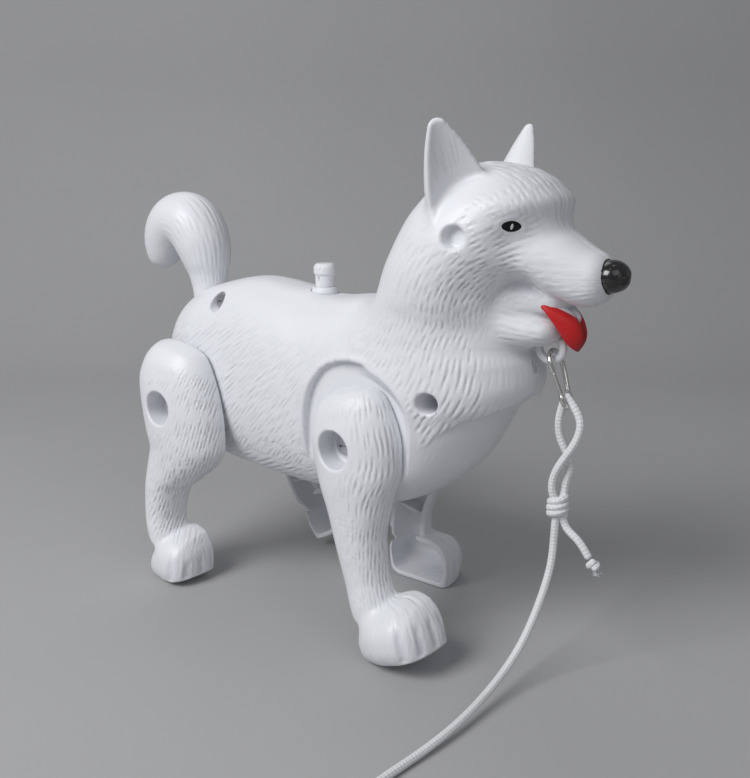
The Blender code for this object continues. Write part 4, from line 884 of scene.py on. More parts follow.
# %% Leg tables
# Limb: height from the hip, rear edge, front edge, depth from the rim
LIMBS = {
    "front": np.array((
        (19, -1.5, 9.5, 4), (17, -6.5, 14.2, 8), (11, -12, 17.8, 11.4), (1, -15.2, 19.3, 13.2),
        (-10, -15.2, 17.4, 13.2), (-22, -14, 10.6, 12.2), (-34, -13.4, 5.2, 11.4), (-46, -12.6, 3.6, 11),
        (-56, -12, 5.4, 12), (-62, -11, 7.4, 12),
    )),
    "rear": np.array((
        (24.5, -7, 6, 4), (21.5, -13, 11, 8.4), (15, -17.8, 16, 12.4), (7, -19.8, 20, 13.8),
        (-2, -18, 23, 14.2), (-12, -14.8, 24.4, 14), (-20, -11.4, 20.6, 13.4), (-28, -11.8, 13.2, 13),
        (-36, -11.4, 6.4, 12.8), (-46, -10.4, 5.2, 12.6), (-54, -8.6, 8.4, 13), (-61, -5, 12.6, 13),
    )),
}
# Paw: distance in front of the hip, top, outward reach
PAWS = {
    "front": np.array((
        (-9.8, -66, 11.5), (-7.5, -60, 14.5), (-2.5, -55, 18), (4, -53.4, 20.2), (10, -52.4, 20.4),
        (15, -54.2, 18.6), (18, -58, 15), (20, -63, 10),
    )),
    "rear": np.array((
        (-3.4, -66, 12), (-1.4, -60, 15), (4, -53.4, 17.8), (9, -50.8, 18.8), (14, -51.6, 18.8),
        (17.5, -55, 17.2), (19.5, -59, 14.2), (20.8, -63, 10),
    )),
}
# Degrees of swing, forward and back
SWINGS = {"front": (14.5, 11.5), "rear": (20.0, 9.0)}
# Distance of the open edge from the middle of the dog, at limb and paw, and height of the ankle from the hip
RIM, PAW_RIM, ANKLE = 25.3, 22.5, -56


def from_hip(x, y, z):
    """Place on an upright right leg: ahead of the hip, out from the middle of the dog, and above the hip."""
    return x, -y, z - HIP_Z


def limb_at(which, h):
    """Rear edge, front edge and depth of a limb at a height."""
    limb = LIMBS[which]
    return [steady(-limb[:, 0], limb[:, k], -h) for k in (1, 2, 3)]


def sole_height(which, u):
    """Height of the sole under the hip, from the two angles of the stride."""
    front, back = np.radians(SWINGS[which])
    heel = -(HIP_Z + u * math.sin(front)) / math.cos(front)
    ball = (-HIP_Z + u * math.sin(back)) / math.cos(back)
    flat = np.maximum(heel, ball)
    if which == "front":
        return flat
    toe = 8.5
    edge = (-HIP_Z + toe * math.sin(back)) / math.cos(back)
    return np.where(u > toe, edge + (u - toe) * math.tan(back + math.radians(15)), flat)


def heel(which, h):
    """How far back the heel reaches: it slants forward from the ankle down to the sole."""
    return (-11.6 if which == "front" else -6.0) + 0.42 * np.maximum(-60 - h, 0) - 30 * ramp(-58, -50, h)


def leg_field(which, u, out, h, grow=0.0, rim=0.0):
    """Field of a limb melted into its paw; grow swells it, and rim moves its open edge inward."""
    limb, paw = LIMBS[which], PAWS[which]
    rear, front, deep = limb_at(which, h)
    half = (front - rear) / 2 + grow
    deep = deep + grow + rim
    o = out - RIM + rim
    f = (egg((u - (rear + front) / 2) / half, np.maximum(o, 0) / deep, 2.3) - 1) * np.minimum(half, deep)
    f = -melt(-f, o, 0.9)
    f = -melt(-f, -np.maximum(h - limb[0, 0] - grow, limb[-1, 0] - h), 4.0)
    top, reach = (steady(paw[:, 0], paw[:, k], u) for k in (1, 2))
    low = -76.5 - 2 * grow
    half = (top + grow - low) / 2
    rim = 1.28 * rim
    reach = reach + grow - 0.5 + rim
    o = out - PAW_RIM + rim
    p = (egg((h - low - half) / half, np.maximum(o, 0) / reach, 2.4) - 1) * np.minimum(half, reach)
    p = -melt(-p, o, 0.9)
    p = -melt(-p, -np.maximum(paw[0, 0] - grow - u, u - paw[-1, 0] - grow), 3.0)
    return melt(f, p, 2.2 if grow == 0 else 2.0)


def leg_outside(which):
    """Field of a leg's skin: cut off at sole and heel, with the round hole of the pivot screw."""
    def field(x, y, z):
        u, out, h = from_hip(x, y, z)
        f = leg_field(which, u, out, h)
        f = -melt(-f, h - sole_height(which, u), 0.7)
        f = -melt(-f, u - heel(which, h), 2.5)
        return bite(f, np.maximum(np.hypot(u, h) - 6.4, 29.5 - out), 0.8)
    return field


def leg_inside(which):
    """Field of a leg's hollow, a wall smaller and open to the inside."""
    def field(x, y, z):
        u, out, h = from_hip(x, y, z)
        f = leg_field(which, u, out, h, -WALL, 3.2)
        return np.maximum(f, np.maximum(sole_height(which, u) + WALL - h, heel(which, h) + 2.4 - u))
    return field


FAN = 17  # millimetres across the toes in one radian


def leg_flow(which):
    """Places along and across the strokes: down the limb, slanting on a rear one, and fanned over the paw."""
    def flow(points):
        u, out, h = from_hip(*points.T)
        rear, front, deep = limb_at(which, h)
        ahead = u - (rear + front) / 2
        turn = np.arctan2(np.maximum(out - RIM, 0) / deep, ahead / ((front - rear) / 2))
        sway = 1.2 * np.sin(0.16 * h + 0.2 * u)
        spoke = np.arctan2(u - 3.0, np.maximum(out - PAW_RIM - 2.0, 0.1))
        paw = ramp(-52, -57, h)
        along, across = h + sway, 14 * turn + 0.4 * sway + 0.1 * h
        if which == "rear":
            wrap = (deep - out + RIM) * np.tanh(ahead / 4)
            along, across = 0.95 * h + 0.31 * u + sway, 22 + 0.31 * h - 0.95 * (u + wrap) + 0.2 * sway
        return {"limb": (1 - paw, along, across), "paw": (paw, h + 2 * spoke, FAN * spoke)}
    return flow


def leg_smooth(which):
    """0 where a leg is smooth: behind, round the hub, on its rim and by the sole; 1 elsewhere."""
    def keep(points, facing):
        u, out, h = from_hip(*points.T)
        rear, front, _ = limb_at(which, h)
        hub = ramp(7.8, 10.5, np.hypot(u, h)) * ramp(21, 12, h)
        rim = ramp(0.2, 1.6, out - np.where(h < ANKLE, PAW_RIM, RIM)) * ramp(0.6, 0.2, facing[:, 1])
        behind = np.where(h > ANKLE, ramp(0.2, 0.4, (u - rear) / (front - rear)), 1)
        return hub * rim * ramp(0.3, 1.5, h - sole_height(which, u)) * behind
    return keep


def leg_fur(which):
    """Depth of the strokes down the limb, and of the four broad grooves between the toes."""
    def depth(points, facing):
        _, _, h = from_hip(*points.T)
        flow = leg_flow(which)(points)
        share, along, across = flow["limb"]
        limb = 0.40 * share * strokes(along, across, 6.4, 1.8, 31)
        share, along, across = flow["paw"]
        beat = (across / FAN - 0.42) / 0.34
        toe = np.exp(-((beat - np.floor(beat) - 0.5) / 0.2) ** 2) * ramp(0.3, 0.6, across / FAN)
        paw = share * (0.6 * toe * ramp(-57.5, -62, h) + 0.12 * strokes(along, across, 5.0, 1.8, 37))
        return (limb + paw) * leg_smooth(which)(points, facing)
    return depth


# %% [markdown]
# ## Four legs from two
#
# The outside is moulded and cut with strokes first, while its points still lie evenly.  The hollow, the hub
# and the bore are then taken out with closed tools.  At rest the legs stand in mid stride, so each copy is
# turned about its hip by its own angle.

# %% Legs
# Degrees that each leg is swung at rest, forward positive
POSES = {"right_front": 14.5, "left_front": -11.5, "right_rear": -9.0, "left_rear": 20.0}
for which in ("front", "rear"):
    leg = moulded("leg", leg_outside(which), (-22, -45, -8), (28, -20, 98), STEP * 0.92)
    dress(leg, None, leg_fur(which))
    hollow = net("leg_hollow", leg_inside(which), (-22, -45, -8), (28, -15, 98), 1.2)
    put(hollow, even(hollow, corners(hollow), 2))
    carve(hollow, bar("hub", (0, -10, HIP_Z), (0, -60, HIP_Z), 8.6))
    for low in (-30.0, -47.0):
        carve(hollow, block("rib", (-40, -60, HIP_Z + low), (40, -27.3, HIP_Z + low + 1.4)))
    carve(leg, hollow)
    carve(leg, bar("shaft", (0, -20.6, HIP_Z), (0, -28, HIP_Z), 4.5), "UNION")
    carve(leg, bar("bore", (0, 0, HIP_Z), (0, -27, HIP_Z), 3.0))
    carve(leg, bar("clear", (0, 0, HIP_Z), (0, -60, HIP_Z), 1.8, 24))
    mark(leg, leg_fur(which), leg_flow(which), leg_smooth(which))
    upright = corners(leg)
    hip = HIP_X if which == "front" else -HIP_X
    for hand in ("right", "left"):
        name = f"{hand}_{which}"
        angle = math.radians(POSES[name])
        c, s = math.cos(angle), math.sin(angle)
        u, out, h = from_hip(*upright.T)
        points = np.stack([hip + u * c - h * s, -out, HIP_Z + u * s + h * c], -1)
        piece = add(f"{name}_leg_skin", leg.data.copy())
        if hand == "left":
            points = points * (1, -1, 1)
            piece.data.flip_normals()
        put(piece, points)
        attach(piece, name)
        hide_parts(f"{name}_leg")
    print(which, "leg", len(leg.data.polygons), "faces")
    bpy.data.objects.remove(leg, do_unlink=True)

# %% [markdown]
# ## Tail
#
# The tail is a curled horn, thick in the middle, whose root turns in a socket in the rump.  It is a round
# section carried along a bent line, so both its directions are known and the strokes can follow them exactly.

# %% Tail
# Tail: x, height, radius
TAIL = np.array((
    (-51.33, 104.2, 7.2), (-52.3, 112.2, 7.2), (-52.9, 117, 7.8), (-53.6, 123, 9.8), (-55.6, 130.5, 11.5),
    (-60.6, 137.2, 12), (-68.5, 138.6, 11.4), (-75, 134.4, 10.4), (-78.4, 128, 8.8), (-79.4, 122.4, 6.6),
    (-79.2, 118.6, 3.4),
))
TAIL_SIZE = 0.97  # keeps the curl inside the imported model's box
TAIL_RADIUS, STROKES_ROUND = 10.5, 30  # where the strokes are spaced, and how many go round
line = batten(np.column_stack([TAIL[:, 0], 0 * TAIL[:, 0], TAIL[:, 1]]), 150)
spot = np.linspace(0, 1, 150)
knots = run_of(TAIL[:, :2])
radius = steady(knots / knots[-1], TAIL[:, 2], spot)
tip_round = np.sqrt(np.clip(1 - np.clip((spot - 0.965) / 0.035, 0, 1) ** 2, 0.0004, 1))
radius = TAIL_SIZE * radius * tip_round
heading = unit(np.gradient(line, axis=0))
over = np.stack([-heading[:, 2], 0 * spot, heading[:, 0]], -1)
angle = circle(120)
length = run_of(line)[-1]
along = spot[:, None] * length + 2 * np.sin(3 * angle)
across = TAIL_RADIUS * (angle - np.pi) + 0 * along
tail_fur = 0.3 * strokes(along, across, 6.5, 2 * np.pi * TAIL_RADIUS / STROKES_ROUND, 41)
tail_fur = tail_fur * ramp(0.1, 0.2, spot)[:, None] * (1 - 0.7 * ramp(0.5, 0.63, spot))[:, None]
spoke = np.cos(angle)[None, :, None] * over[:, None] + np.sin(angle)[None, :, None] * np.array((0, 1, 0))
grid = line[:, None] + (radius[:, None] - tail_fur)[..., None] * spoke
tail = skin("tail_skin", grid)
flange = ((0.4, -11.4), (6.8, -11.4), (6.8, -9.3), (5.5, -9.3), (5.5, -5.0), (0.4, -5.0))
carve(tail, turned("tail_neck", flange, TAIL_ROOT, TAIL_AXIS), "UNION")
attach(tail, "tail_body")
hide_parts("tail")
print("tail", len(tail.data.polygons), "faces, line", round(length, 1), "mm")

# %% [markdown]
# ## Button and collar
#
# The switch on the back is a turned peg with a bevelled cap that slides in a low collar.  Turned parts come
# from a profile of radius and height.  The rim has small rounds, because a mould never leaves a sharp edge,
# and a narrow slot is cut in the side.


# %% Button
def softened(profile, size=0.25):
    """Round the corners of a turned profile by stepping back from each and adding a point between."""
    p = np.asarray(profile, float)
    rows = [p[0]]
    for before, here, after in zip(p[:-2], p[1:-1], p[2:]):
        a = before - here
        b = after - here
        a = a / np.hypot(*a) * min(size, np.hypot(*a) * 0.45)
        b = b / np.hypot(*b) * min(size, np.hypot(*b) * 0.45)
        for t in (0, 0.25, 0.5, 0.75, 1):
            rows.append((1 - t) ** 2 * (here + a) + 2 * t * (1 - t) * here + t * t * (here + b))
    return np.array(rows + [p[-1]])


collar = ((3.7, 0), (4.9, 0), (4.9, 3.0), (4.5, 4.2), (4.1, 4.6), (3.7, 4.6), (3.7, 0))
collar = turned("button_collar_skin", softened(collar), (BUTTON_X, 0, 113.4), (0, 0, 1), 96)
# A ring needs no caps: their middle points go, and the two ends of the profile are welded
bm = bmesh.new()
bm.from_mesh(collar.data)
bmesh.ops.delete(bm, geom=[v for v in bm.verts if len(v.link_edges) > 20], context="VERTS")
bmesh.ops.remove_doubles(bm, verts=bm.verts, dist=1e-7)
bmesh.ops.recalc_face_normals(bm, faces=bm.faces)
bm.to_mesh(collar.data)
bm.free()
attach(collar, "body")
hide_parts("button_collar")
peg = ((0.05, 0), (3.4, 0), (3.4, 14.2), (4.0, 14.8), (4.0, 17.2), (3.1, 18.4), (0.05, 18.4))
button = turned("push_button_skin", softened(peg, 0.35), (BUTTON_X, 0, 108), (0, 0, 1), 96)
carve(button, block("slot", (BUTTON_X - 0.4, -6, 119.4), (BUTTON_X + 0.4, -2.4, 121.9)))
for turn in np.radians((20, 110, 200, 290)):
    c, s = math.cos(turn), math.sin(turn)
    start = (BUTTON_X + 4.25 * c, 4.25 * s, 124.2)
    end = (BUTTON_X + 3.3 * c, 3.3 * s, 127)
    carve(button, bar("notch", start, end, 0.35, 16))
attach(button, "button")
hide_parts("push_button")
print("collar", len(collar.data.polygons), "faces, button", len(button.data.polygons), "faces")

# %% [markdown]
# ## Nose, tongue and eyes
#
# The nose is a glossy black cap with two nostrils.  The tongue is a thin leaf with a crease down its middle,
# carried along a line that leaves the mouth and hangs over the lip.  The eyes are printed on the real toy, so
# they are thin almond lenses laid on the skin: their points are moved along the eye's own direction until
# they lie on the body's field.

# %% Face
nose = nose_shape("nose_skin", 0.0, 72, 96)
points = corners(nose)
local = (points - NOSE) / NOSE_SIZE
dent = np.zeros(len(points))
for side in (-1, 1):
    away = ((local - (0.8, 0.42 * side, -0.12)) / (0.34, 0.17, 0.2)) ** 2
    dent += 0.9 * np.exp(-away.sum(1))
dent += 0.35 * np.exp(-(local[:, 1] / 0.07) ** 2) * ramp(0.1, -0.4, local[:, 2]) * ramp(0.2, 0.5, local[:, 0])
put(nose, points - unit(local) * dent[:, None])
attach(nose, "body")
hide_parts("nose")

mid = batten(((93, 0, 119.4), (100, 0, 118.9), (105.6, 0, 116.6), (108.2, 0, 111.8), (107.6, 0, 106.6)), 60)
t = np.linspace(0, 1, 60)
wide = steady((0, 0.3, 0.6, 0.85, 0.95, 1), (5.0, 7.4, 8.0, 5.8, 3.6, 0.6), t)
heading = unit(np.gradient(mid, axis=0))
lift = np.stack([-heading[:, 2], 0 * t, heading[:, 0]], -1)
angle = circle(72)
a = np.cos(angle)
b = np.sin(angle)
crease = np.where(b > 0, np.exp(-(a / 0.12) ** 2), 0)
thick = steady((0, 0.8, 1), (1.9, 1.9, 0.5), t)
grid = mid[:, None] + (thick[:, None] * (signed(b, 0.8) - 0.5 * crease))[..., None] * lift[:, None]
aside = wide[:, None] * a
grid[..., 1] += aside
grid[..., 0] -= 0.09 * aside ** 2
grid[..., 2] += 0.05 * aside ** 2
tongue = skin("tongue_skin", grid)
# The red paint ends in a point near the lip, and is kept as a share on the points
fold = 0.38 + 0.26 * (1 - np.abs(a)) ** 0.8
paint = (0.5 + 25 * (t[:, None] - fold)).ravel()
note = tongue.data.attributes.new("painted", "FLOAT", "POINT")
note.data.foreach_set("value", np.concatenate([paint, [0, 1]]))
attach(tongue, "body")
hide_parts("tongue")


def lens_on_skin(long, tall, rise, rows=16, around=64):
    """Almond lens laid on the body: rings from the middle out on top, then back to the middle below."""
    r = np.concatenate([np.linspace(0.02, 1, rows), np.linspace(1, 0.02, rows)])[:, None]
    a = circle(around)
    p = long * r * np.cos(a)
    q = tall * r * np.sin(a) * (1 - 0.12 * np.cos(a) ** 2)
    top = np.where(np.arange(2 * rows)[:, None] < rows, rise * (1 - r ** 2) + 0.06, -0.7) + 0 * a
    flat = (EYE + p[..., None] * EYE_LONG + q[..., None] * EYE_UP).reshape(-1, 3)
    near, far = np.full(len(flat), 6.0), np.full(len(flat), -6.0)
    for _ in range(30):
        half = (near + far) / 2
        here = flat + half[:, None] * EYE_OUT
        out = body_field(*here.T) + 0 * half > body_shape(here)
        near, far = np.where(out, half, near), np.where(out, far, half)
    return (flat + (near + top.ravel())[:, None] * EYE_OUT).reshape(2 * rows, around, 3)


# Half length, half height, rise of the middle, lift off the skin
LENSES = {"eye": (3.35, 1.7, 0.4, 0.0), "eye_glint": (0.42, 0.85, 0.04, 0.4)}
for hand, side in (("right", -1), ("left", 1)):
    for name, (long, tall, rise, lifted) in LENSES.items():
        grid = (lens_on_skin(long, tall, rise) + lifted * EYE_OUT) * (1, side, 1)
        piece = skin(f"{hand}_{name}", grid)
        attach(piece, "body")
print("nose", len(nose.data.polygons), "faces, tongue", len(tongue.data.polygons), "faces")

# %% [markdown]
# ## Ring and snap hook
#
# The leash clips to a moulded ring under the chin with a small bent-wire hook.  Wire is a round section
# carried along a bent line.  The hook's body makes an open bow at the top and an eye for the cord below, and
# the gate is a second, thinner wire.


# %% Wire
def tube(name, path, radius, sides=16):
    """Round section along a path, with lengths along and around kept as UV, and softly domed ends."""
    path = np.asarray(path, float)
    run = run_of(path)
    size = np.broadcast_to(radius, len(path)).astype(float)
    side, other = rails(path)
    angle = circle(sides)
    spoke = np.cos(angle)[:, None] * side[:, None] + np.sin(angle)[:, None] * other[:, None]
    heading = unit(np.gradient(path, axis=0))
    dome = np.array((0.35, 0.8))
    first = path[0] - heading[0] * size[0] * np.array((0.55, 0.3))[:, None]
    last = path[-1] + heading[-1] * size[-1] * np.array((0.3, 0.55))[:, None]
    rings = np.concatenate([
        first[:, None] + (size[0] * dome)[:, None, None] * spoke[0],
        path[:, None] + size[:, None, None] * spoke,
        last[:, None] + (size[-1] * dome[::-1])[:, None, None] * spoke[-1],
    ])
    run = np.concatenate([[run[0] - 0.5, run[0] - 0.3], run, [run[-1] + 0.3, run[-1] + 0.5]])
    rows = len(rings)
    points = np.concatenate([rings.reshape(-1, 3), [first[0], last[1]]])
    piece = new_piece(name, points, closed_faces(rows, sides))
    i, j = np.meshgrid(np.arange(rows - 1), np.arange(sides), indexing="ij")
    u = np.stack([run[i], run[i], run[i + 1], run[i + 1]], -1)
    v = np.stack([j, j + 1, j + 1, j], -1) / sides
    coords = np.stack([u, v], -1).reshape(-1, 2)
    caps = np.zeros((6 * sides, 2))
    layer = piece.data.uv_layers.new(name="UVMap")
    layer.data.foreach_set("uv", np.concatenate([coords, caps]).ravel())
    return piece


LEAN = math.radians(20)
HOOK_TOP = np.array((99.6, 0, 105.9))
EYE_DROP = 15.4  # from the hook's top to the middle of its eye


def on_hook(y, drop):
    """Point of the hook's plane: y to the side, drop down along the leaning plane."""
    y, drop = np.broadcast_arrays(np.asarray(y, float), np.asarray(drop, float))
    return HOOK_TOP + np.stack([math.sin(LEAN) * drop, y, -math.cos(LEAN) * drop], -1)


def hook_arc(y, drop, radius, first, last, count):
    """Arc in the hook's plane, between two angles in degrees."""
    a = np.radians(np.linspace(first, last, count))
    return on_hook(y + radius * np.cos(a), drop - radius * np.sin(a))


bent = np.concatenate([
    on_hook((-3.5, -3.7), (6.4, 5.0)), hook_arc(0, 3.8, 3.8, 180, 0, 24),
    on_hook((3.7, 3.1, 2.5), (6.6, 10.2, 12.8)), hook_arc(0, EYE_DROP, 2.75, 30, -205, 30),
])
hook = tube("hook_body_wire", batten(bent, 170), 0.8, 20)
gate_at, gate_end = on_hook(-2.25, 13.7), on_hook(-3.42, 6.85)
gate = tube("hook_gate_wire", batten((gate_at, (gate_at + gate_end) / 2, gate_end), 24), 0.6, 16)
for piece, node, rider in ((hook, "hook_body", "body"), (gate, "hook_gate", "gate")):
    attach(piece, rider)
    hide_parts(node)

a, b = circle(96), circle(32)
hoop = np.stack([np.cos(a), 0 * a, np.sin(a)], -1)
grid = np.array((99, 0, 106.6)) + (4 + 1.3 * np.cos(b))[None, :, None] * hoop[:, None]
grid[..., 1] += 1.25 * np.sin(b)
ring = outward(new_piece("chin_ring_skin", grid.reshape(-1, 3), hoop_faces(96, 32)))
carve(ring, block("stem", (96.8, -1.25, 109.8), (101.2, 1.25, 113.6)), "UNION")
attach(ring, "body")
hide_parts("chin_ring")
print("hook wire", round(run_of(batten(bent, 170))[-1], 1), "mm long")

# %% [markdown]
# ## Leash
#
# The leash is a thin white elastic cord, 2.5 mm thick.  It is doubled through the hook's eye and tied in a
# barrel knot; a short end with a frayed knot hangs beside it.  The long end falls to the floor, runs out of
# the picture and is wound into a small coil with a tie.  The route repeats the solid model's points.

# %% Leash
CORD = 2.5
KNOT = np.array((104.2, -0.4, 55.5))
HOOK_EYE = on_hook(0.0, EYE_DROP)
loop = np.array((
    KNOT + (-1.4, -1.3, 5.0), KNOT + (-1.6, -1.5, 8.0), (104.4, -1.9, 69.5), (108.6, -1.2, 77.0),
    (110.2, -0.3, 84.0), HOOK_EYE + (0, 0, 0.85), (103.0, 0.2, 85.4), (103.3, 1.0, 78.0), (106.6, 1.9, 69.0),
    KNOT + (1.6, 1.5, 8.0), KNOT + (1.4, 1.3, 5.0),
))
COIL_X, COIL_Y, LIE = 112.5, -104, 1.35  # middle of the coil, and height of a cord on the floor
PITCH, LAYER, PER_TURN = 3.4, 2.95, 18  # from turn to turn, from layer to layer, points in a turn
t = np.arange(0, 3 * PER_TURN + 1) / PER_TURN
u = np.arange(1, 10) / PER_TURN
# Coil: turn, radius, height over the first layer
turns = np.concatenate([
    np.stack([t, 18.2 - PITCH * t, 0 * t], -1),
    np.stack([3 + u, 0 * u + 8, 2 * u * LAYER], -1),
    np.stack([3.5 + t[1:], 8 + PITCH * t[1:], 0 * t[1:] + LAYER], -1),
])
angle = np.pi + 2 * np.pi * turns[:, 0]
coil = np.stack([
    COIL_X + turns[:, 1] * np.cos(angle), COIL_Y + turns[:, 1] * np.sin(angle), LIE + turns[:, 2],
], -1)
lead = np.array((
    KNOT + (-0.2, -0.4, -3.8), KNOT + (-0.3, -0.6, -6.3), (103.9, -2.2, 37.9), (102.9, -7.0, 25.4),
    (101.2, -16.0, 12.9), (100.0, -33.0, 5.2), (99.0, -55.0, 2.5), (96.8, -70.0, 1.5), (94.8, -84.0, LIE),
    (94.3, -94.0, LIE),
))
down = batten(np.concatenate([loop[5::-1], [KNOT], lead, coil[:1] + (0, 2.5, 0), coil[:2]]), 240)
last = unit(coil[-1] - coil[-2])
wound = batten(np.concatenate([coil[1:], [coil[-1] + last * 2.5]]), 640)
route = np.concatenate([down, wound[1:]])
leash = tube("leash_cord", route, CORD / 2, 16)
tail_end = np.array(((106.2, 0.2, 51.4), (107.3, 0.2, 49.3), (111.4, -0.4, 46.4), (115.6, -0.6, 41.6)))
back = batten(np.concatenate([loop[5:], [KNOT + (0.4, 0.4, 0)], tail_end]), 140)
short = tube("leash_short_end", back, CORD / 2, 16)

# Barrel knot: three turns of the cord round both strands
a = np.linspace(0, 3.1 * 2 * np.pi, 150)
rise = np.linspace(-2.6, 3.4, 150)
bulge = 2.2 + 0.25 * np.sin(np.linspace(0, np.pi, 150))
barrel = KNOT + np.stack([bulge * np.cos(a), bulge * np.sin(a), rise + 0.5 * np.cos(a)], -1)
knot = tube("leash_knot_turns", barrel, 1.2, 16)


def stop_knot(name, centre, axis, size):
    """Stop knot: the cord goes once round itself and tucks in."""
    a = np.linspace(0, 2.3 * np.pi, 60)
    axis = unit(np.asarray(axis, float))
    side = unit(np.cross(axis, (0.2, 0.9, 0.3)))
    ring = np.cos(a)[:, None] * side + np.sin(a)[:, None] * np.cross(axis, side)
    climb = (a / a[-1] - 0.5)[:, None] * 0.9 * size * axis
    return tube(name, centre + 0.5 * size * ring + climb, 0.5 * size, 16)


short_axis = back[-1] - back[-3]
tip = np.array((117.3, -0.7, 39.4))
tail_knot = stop_knot("leash_tail_stop", tip, short_axis, 2.2)
end_at = coil[-1] + last * 5.2
end_knot = stop_knot("leash_end_stop", end_at, last, 2.2)
# Frayed fibres out of the short end
bow = np.linspace(0, 1, 8)[:, None]
start = tip + unit(short_axis) * 0.6
bm = bmesh.new()
for k in range(14):
    turn = 2.4 * k
    spread = np.array((math.cos(turn), math.sin(turn), 0.3 * math.sin(2 * turn)))
    way = unit(unit(short_axis) + (0.35 + 0.4 * chance(k, 3, 2)) * spread)
    path = start + way * bow * (2.2 + chance(k, 1, 7)) + bow ** 2 * np.array((0, 0, -0.5))
    fibre = tube("fibre", path, 0.13, 6)
    bm.from_mesh(fibre.data)
    bpy.data.objects.remove(fibre, do_unlink=True)
fray = add("leash_fray", bpy.data.meshes.new("leash_fray"))
bm.to_mesh(fray.data)
bm.free()
# Tie round the coil
TIE_AT = 13.1  # from the middle of the coil
a = circle(60)
toward = np.array((math.cos(-0.6), math.sin(-0.6), 0))
belt = np.array((COIL_X, COIL_Y, 3.0)) + np.outer(TIE_AT + 7.2 * signed(np.cos(a), 0.6), toward)
belt[:, 2] = LAYER + 2.85 * signed(np.sin(a), 0.6)
tie_side = np.cross(toward, (0, 0, 1.0))
grid = belt[:, None] + (np.array((-1.2, 1.2, 1.2, -1.2))[:, None] * tie_side)[None]
inner = np.array((0, 0, 1, 1.0))
centre = np.array((COIL_X, COIL_Y, LAYER)) + TIE_AT * toward
grid = grid + (inner * 0.08)[None, :, None] * (centre - belt)[:, None]
tie = outward(new_piece("leash_tie", grid.reshape(-1, 3), hoop_faces(60, 4)))
for piece, nodes in (
    (leash, ("leash_lead", "leash_coil")), (short, ("leash_loop", "leash_tail")), (knot, ("leash_knot",)),
    (tail_knot, ("leash_tail_knot",)), (end_knot, ("leash_end_knot",)), (fray, ()), (tie, ()),
):
    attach(piece, "body")
    if nodes:
        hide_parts(*nodes)
away = place(HOOK_EYE)

# %% [markdown]
# ## Materials
#
# A material is a small circuit of nodes.  To write it as a sum, one class wraps an output socket and gives it
# plus, minus and times.  Everything is worked out from the place on the object, the lengths kept in the UV
# of a cord, or the depth and flow of the strokes kept on the points, so nothing is painted on from a picture.


# %% Node arithmetic
class Wire:
    """An output of a node that can stand in a sum as a number would."""

    def __init__(self, tree, socket):
        self.tree = tree
        self.socket = socket

    def node(self, kind, inputs=None, out=0, **settings):
        """Any other node: its settings first, then its inputs by name or number."""
        made = self.tree.nodes.new("ShaderNode" + kind)
        for key, value in settings.items():
            setattr(made, key, value)
        for key, value in (inputs or {}).items():
            if isinstance(value, Wire):
                self.tree.links.new(value.socket, made.inputs[key])
            else:
                made.inputs[key].default_value = value
        return Wire(self.tree, made.outputs[out])

    def sum(self, how, a, b):
        """Node that joins two numbers."""
        return self.node("Math", {0: a, 1: b}, operation=how)

    def __add__(self, other):
        return self.sum("ADD", self, other)

    def __sub__(self, other):
        return self.sum("SUBTRACT", self, other)

    def __rsub__(self, other):
        return self.sum("SUBTRACT", other, self)

    def __mul__(self, other):
        return self.sum("MULTIPLY", self, other)

    __radd__ = __add__
    __rmul__ = __mul__

    def sine(self):
        """Sine of this number, in radians."""
        return self.node("Math", {0: self}, operation="SINE")

    def between(self, low, high):
        """Soft step of this number, from 0 at low to 1 at high."""
        return self.node("MapRange", {0: self, 1: low, 2: high}, interpolation_type="SMOOTHSTEP")

    def mix(self, first, second):
        """Colour that goes from first to second as this number goes from 0 to 1."""
        return self.node("Mix", {0: self, 6: first, 7: second}, out=2, data_type="RGBA")

    def stored(self, name, out):
        """What is kept on the points under a name: output 1 is a vector, 2 a number."""
        return self.node("Attribute", {}, out=out, attribute_name=name, attribute_type="GEOMETRY")

    def part(self, axis):
        """One coordinate of a vector."""
        return self.node("SeparateXYZ", {0: self}, out="XYZ".index(axis))

    def noise(self, scale, detail=3.0, rough=0.5):
        """Cloudy number from 0 to 1 at this place."""
        return self.node("TexNoise", {"Vector": self, "Scale": scale, "Detail": detail, "Roughness": rough})

    def stretch(self, x, y, z):
        """Vector with its three coordinates scaled."""
        return self.node("Mapping", {"Vector": self, "Scale": (x, y, z)})

    def bump(self, strength, distance, inner=None):
        """Surface direction as if this number were a height, on top of an inner bump if given."""
        more = {"Normal": inner} if inner else {}
        return self.node("Bump", {"Height": self, "Strength": strength, "Distance": distance, **more})


def rgb(r, g, b):
    """Opaque colour."""
    return (r, g, b, 1.0)


MATERIALS = {}


def recipe(name, **fixed):
    """New material: its shader with the fixed numbers set, and the place on the object as a wire."""
    made = bpy.data.materials.new(name)
    made.use_nodes = True
    tree = made.node_tree
    shader = tree.nodes["Principled BSDF"]
    for key, value in fixed.items():
        shader.inputs[key.replace("_", " ")].default_value = value
    MATERIALS[name] = made
    where = tree.nodes.new("ShaderNodeTexCoord")

    def feed(**wires):
        """Lead wires to the shader's inputs, named with _ for a space."""
        for key, wire in wires.items():
            tree.links.new(wire.socket, shader.inputs[key.replace("_", " ")])

    return Wire(tree, where.outputs["Object"]), Wire(tree, where.outputs["UV"]), feed
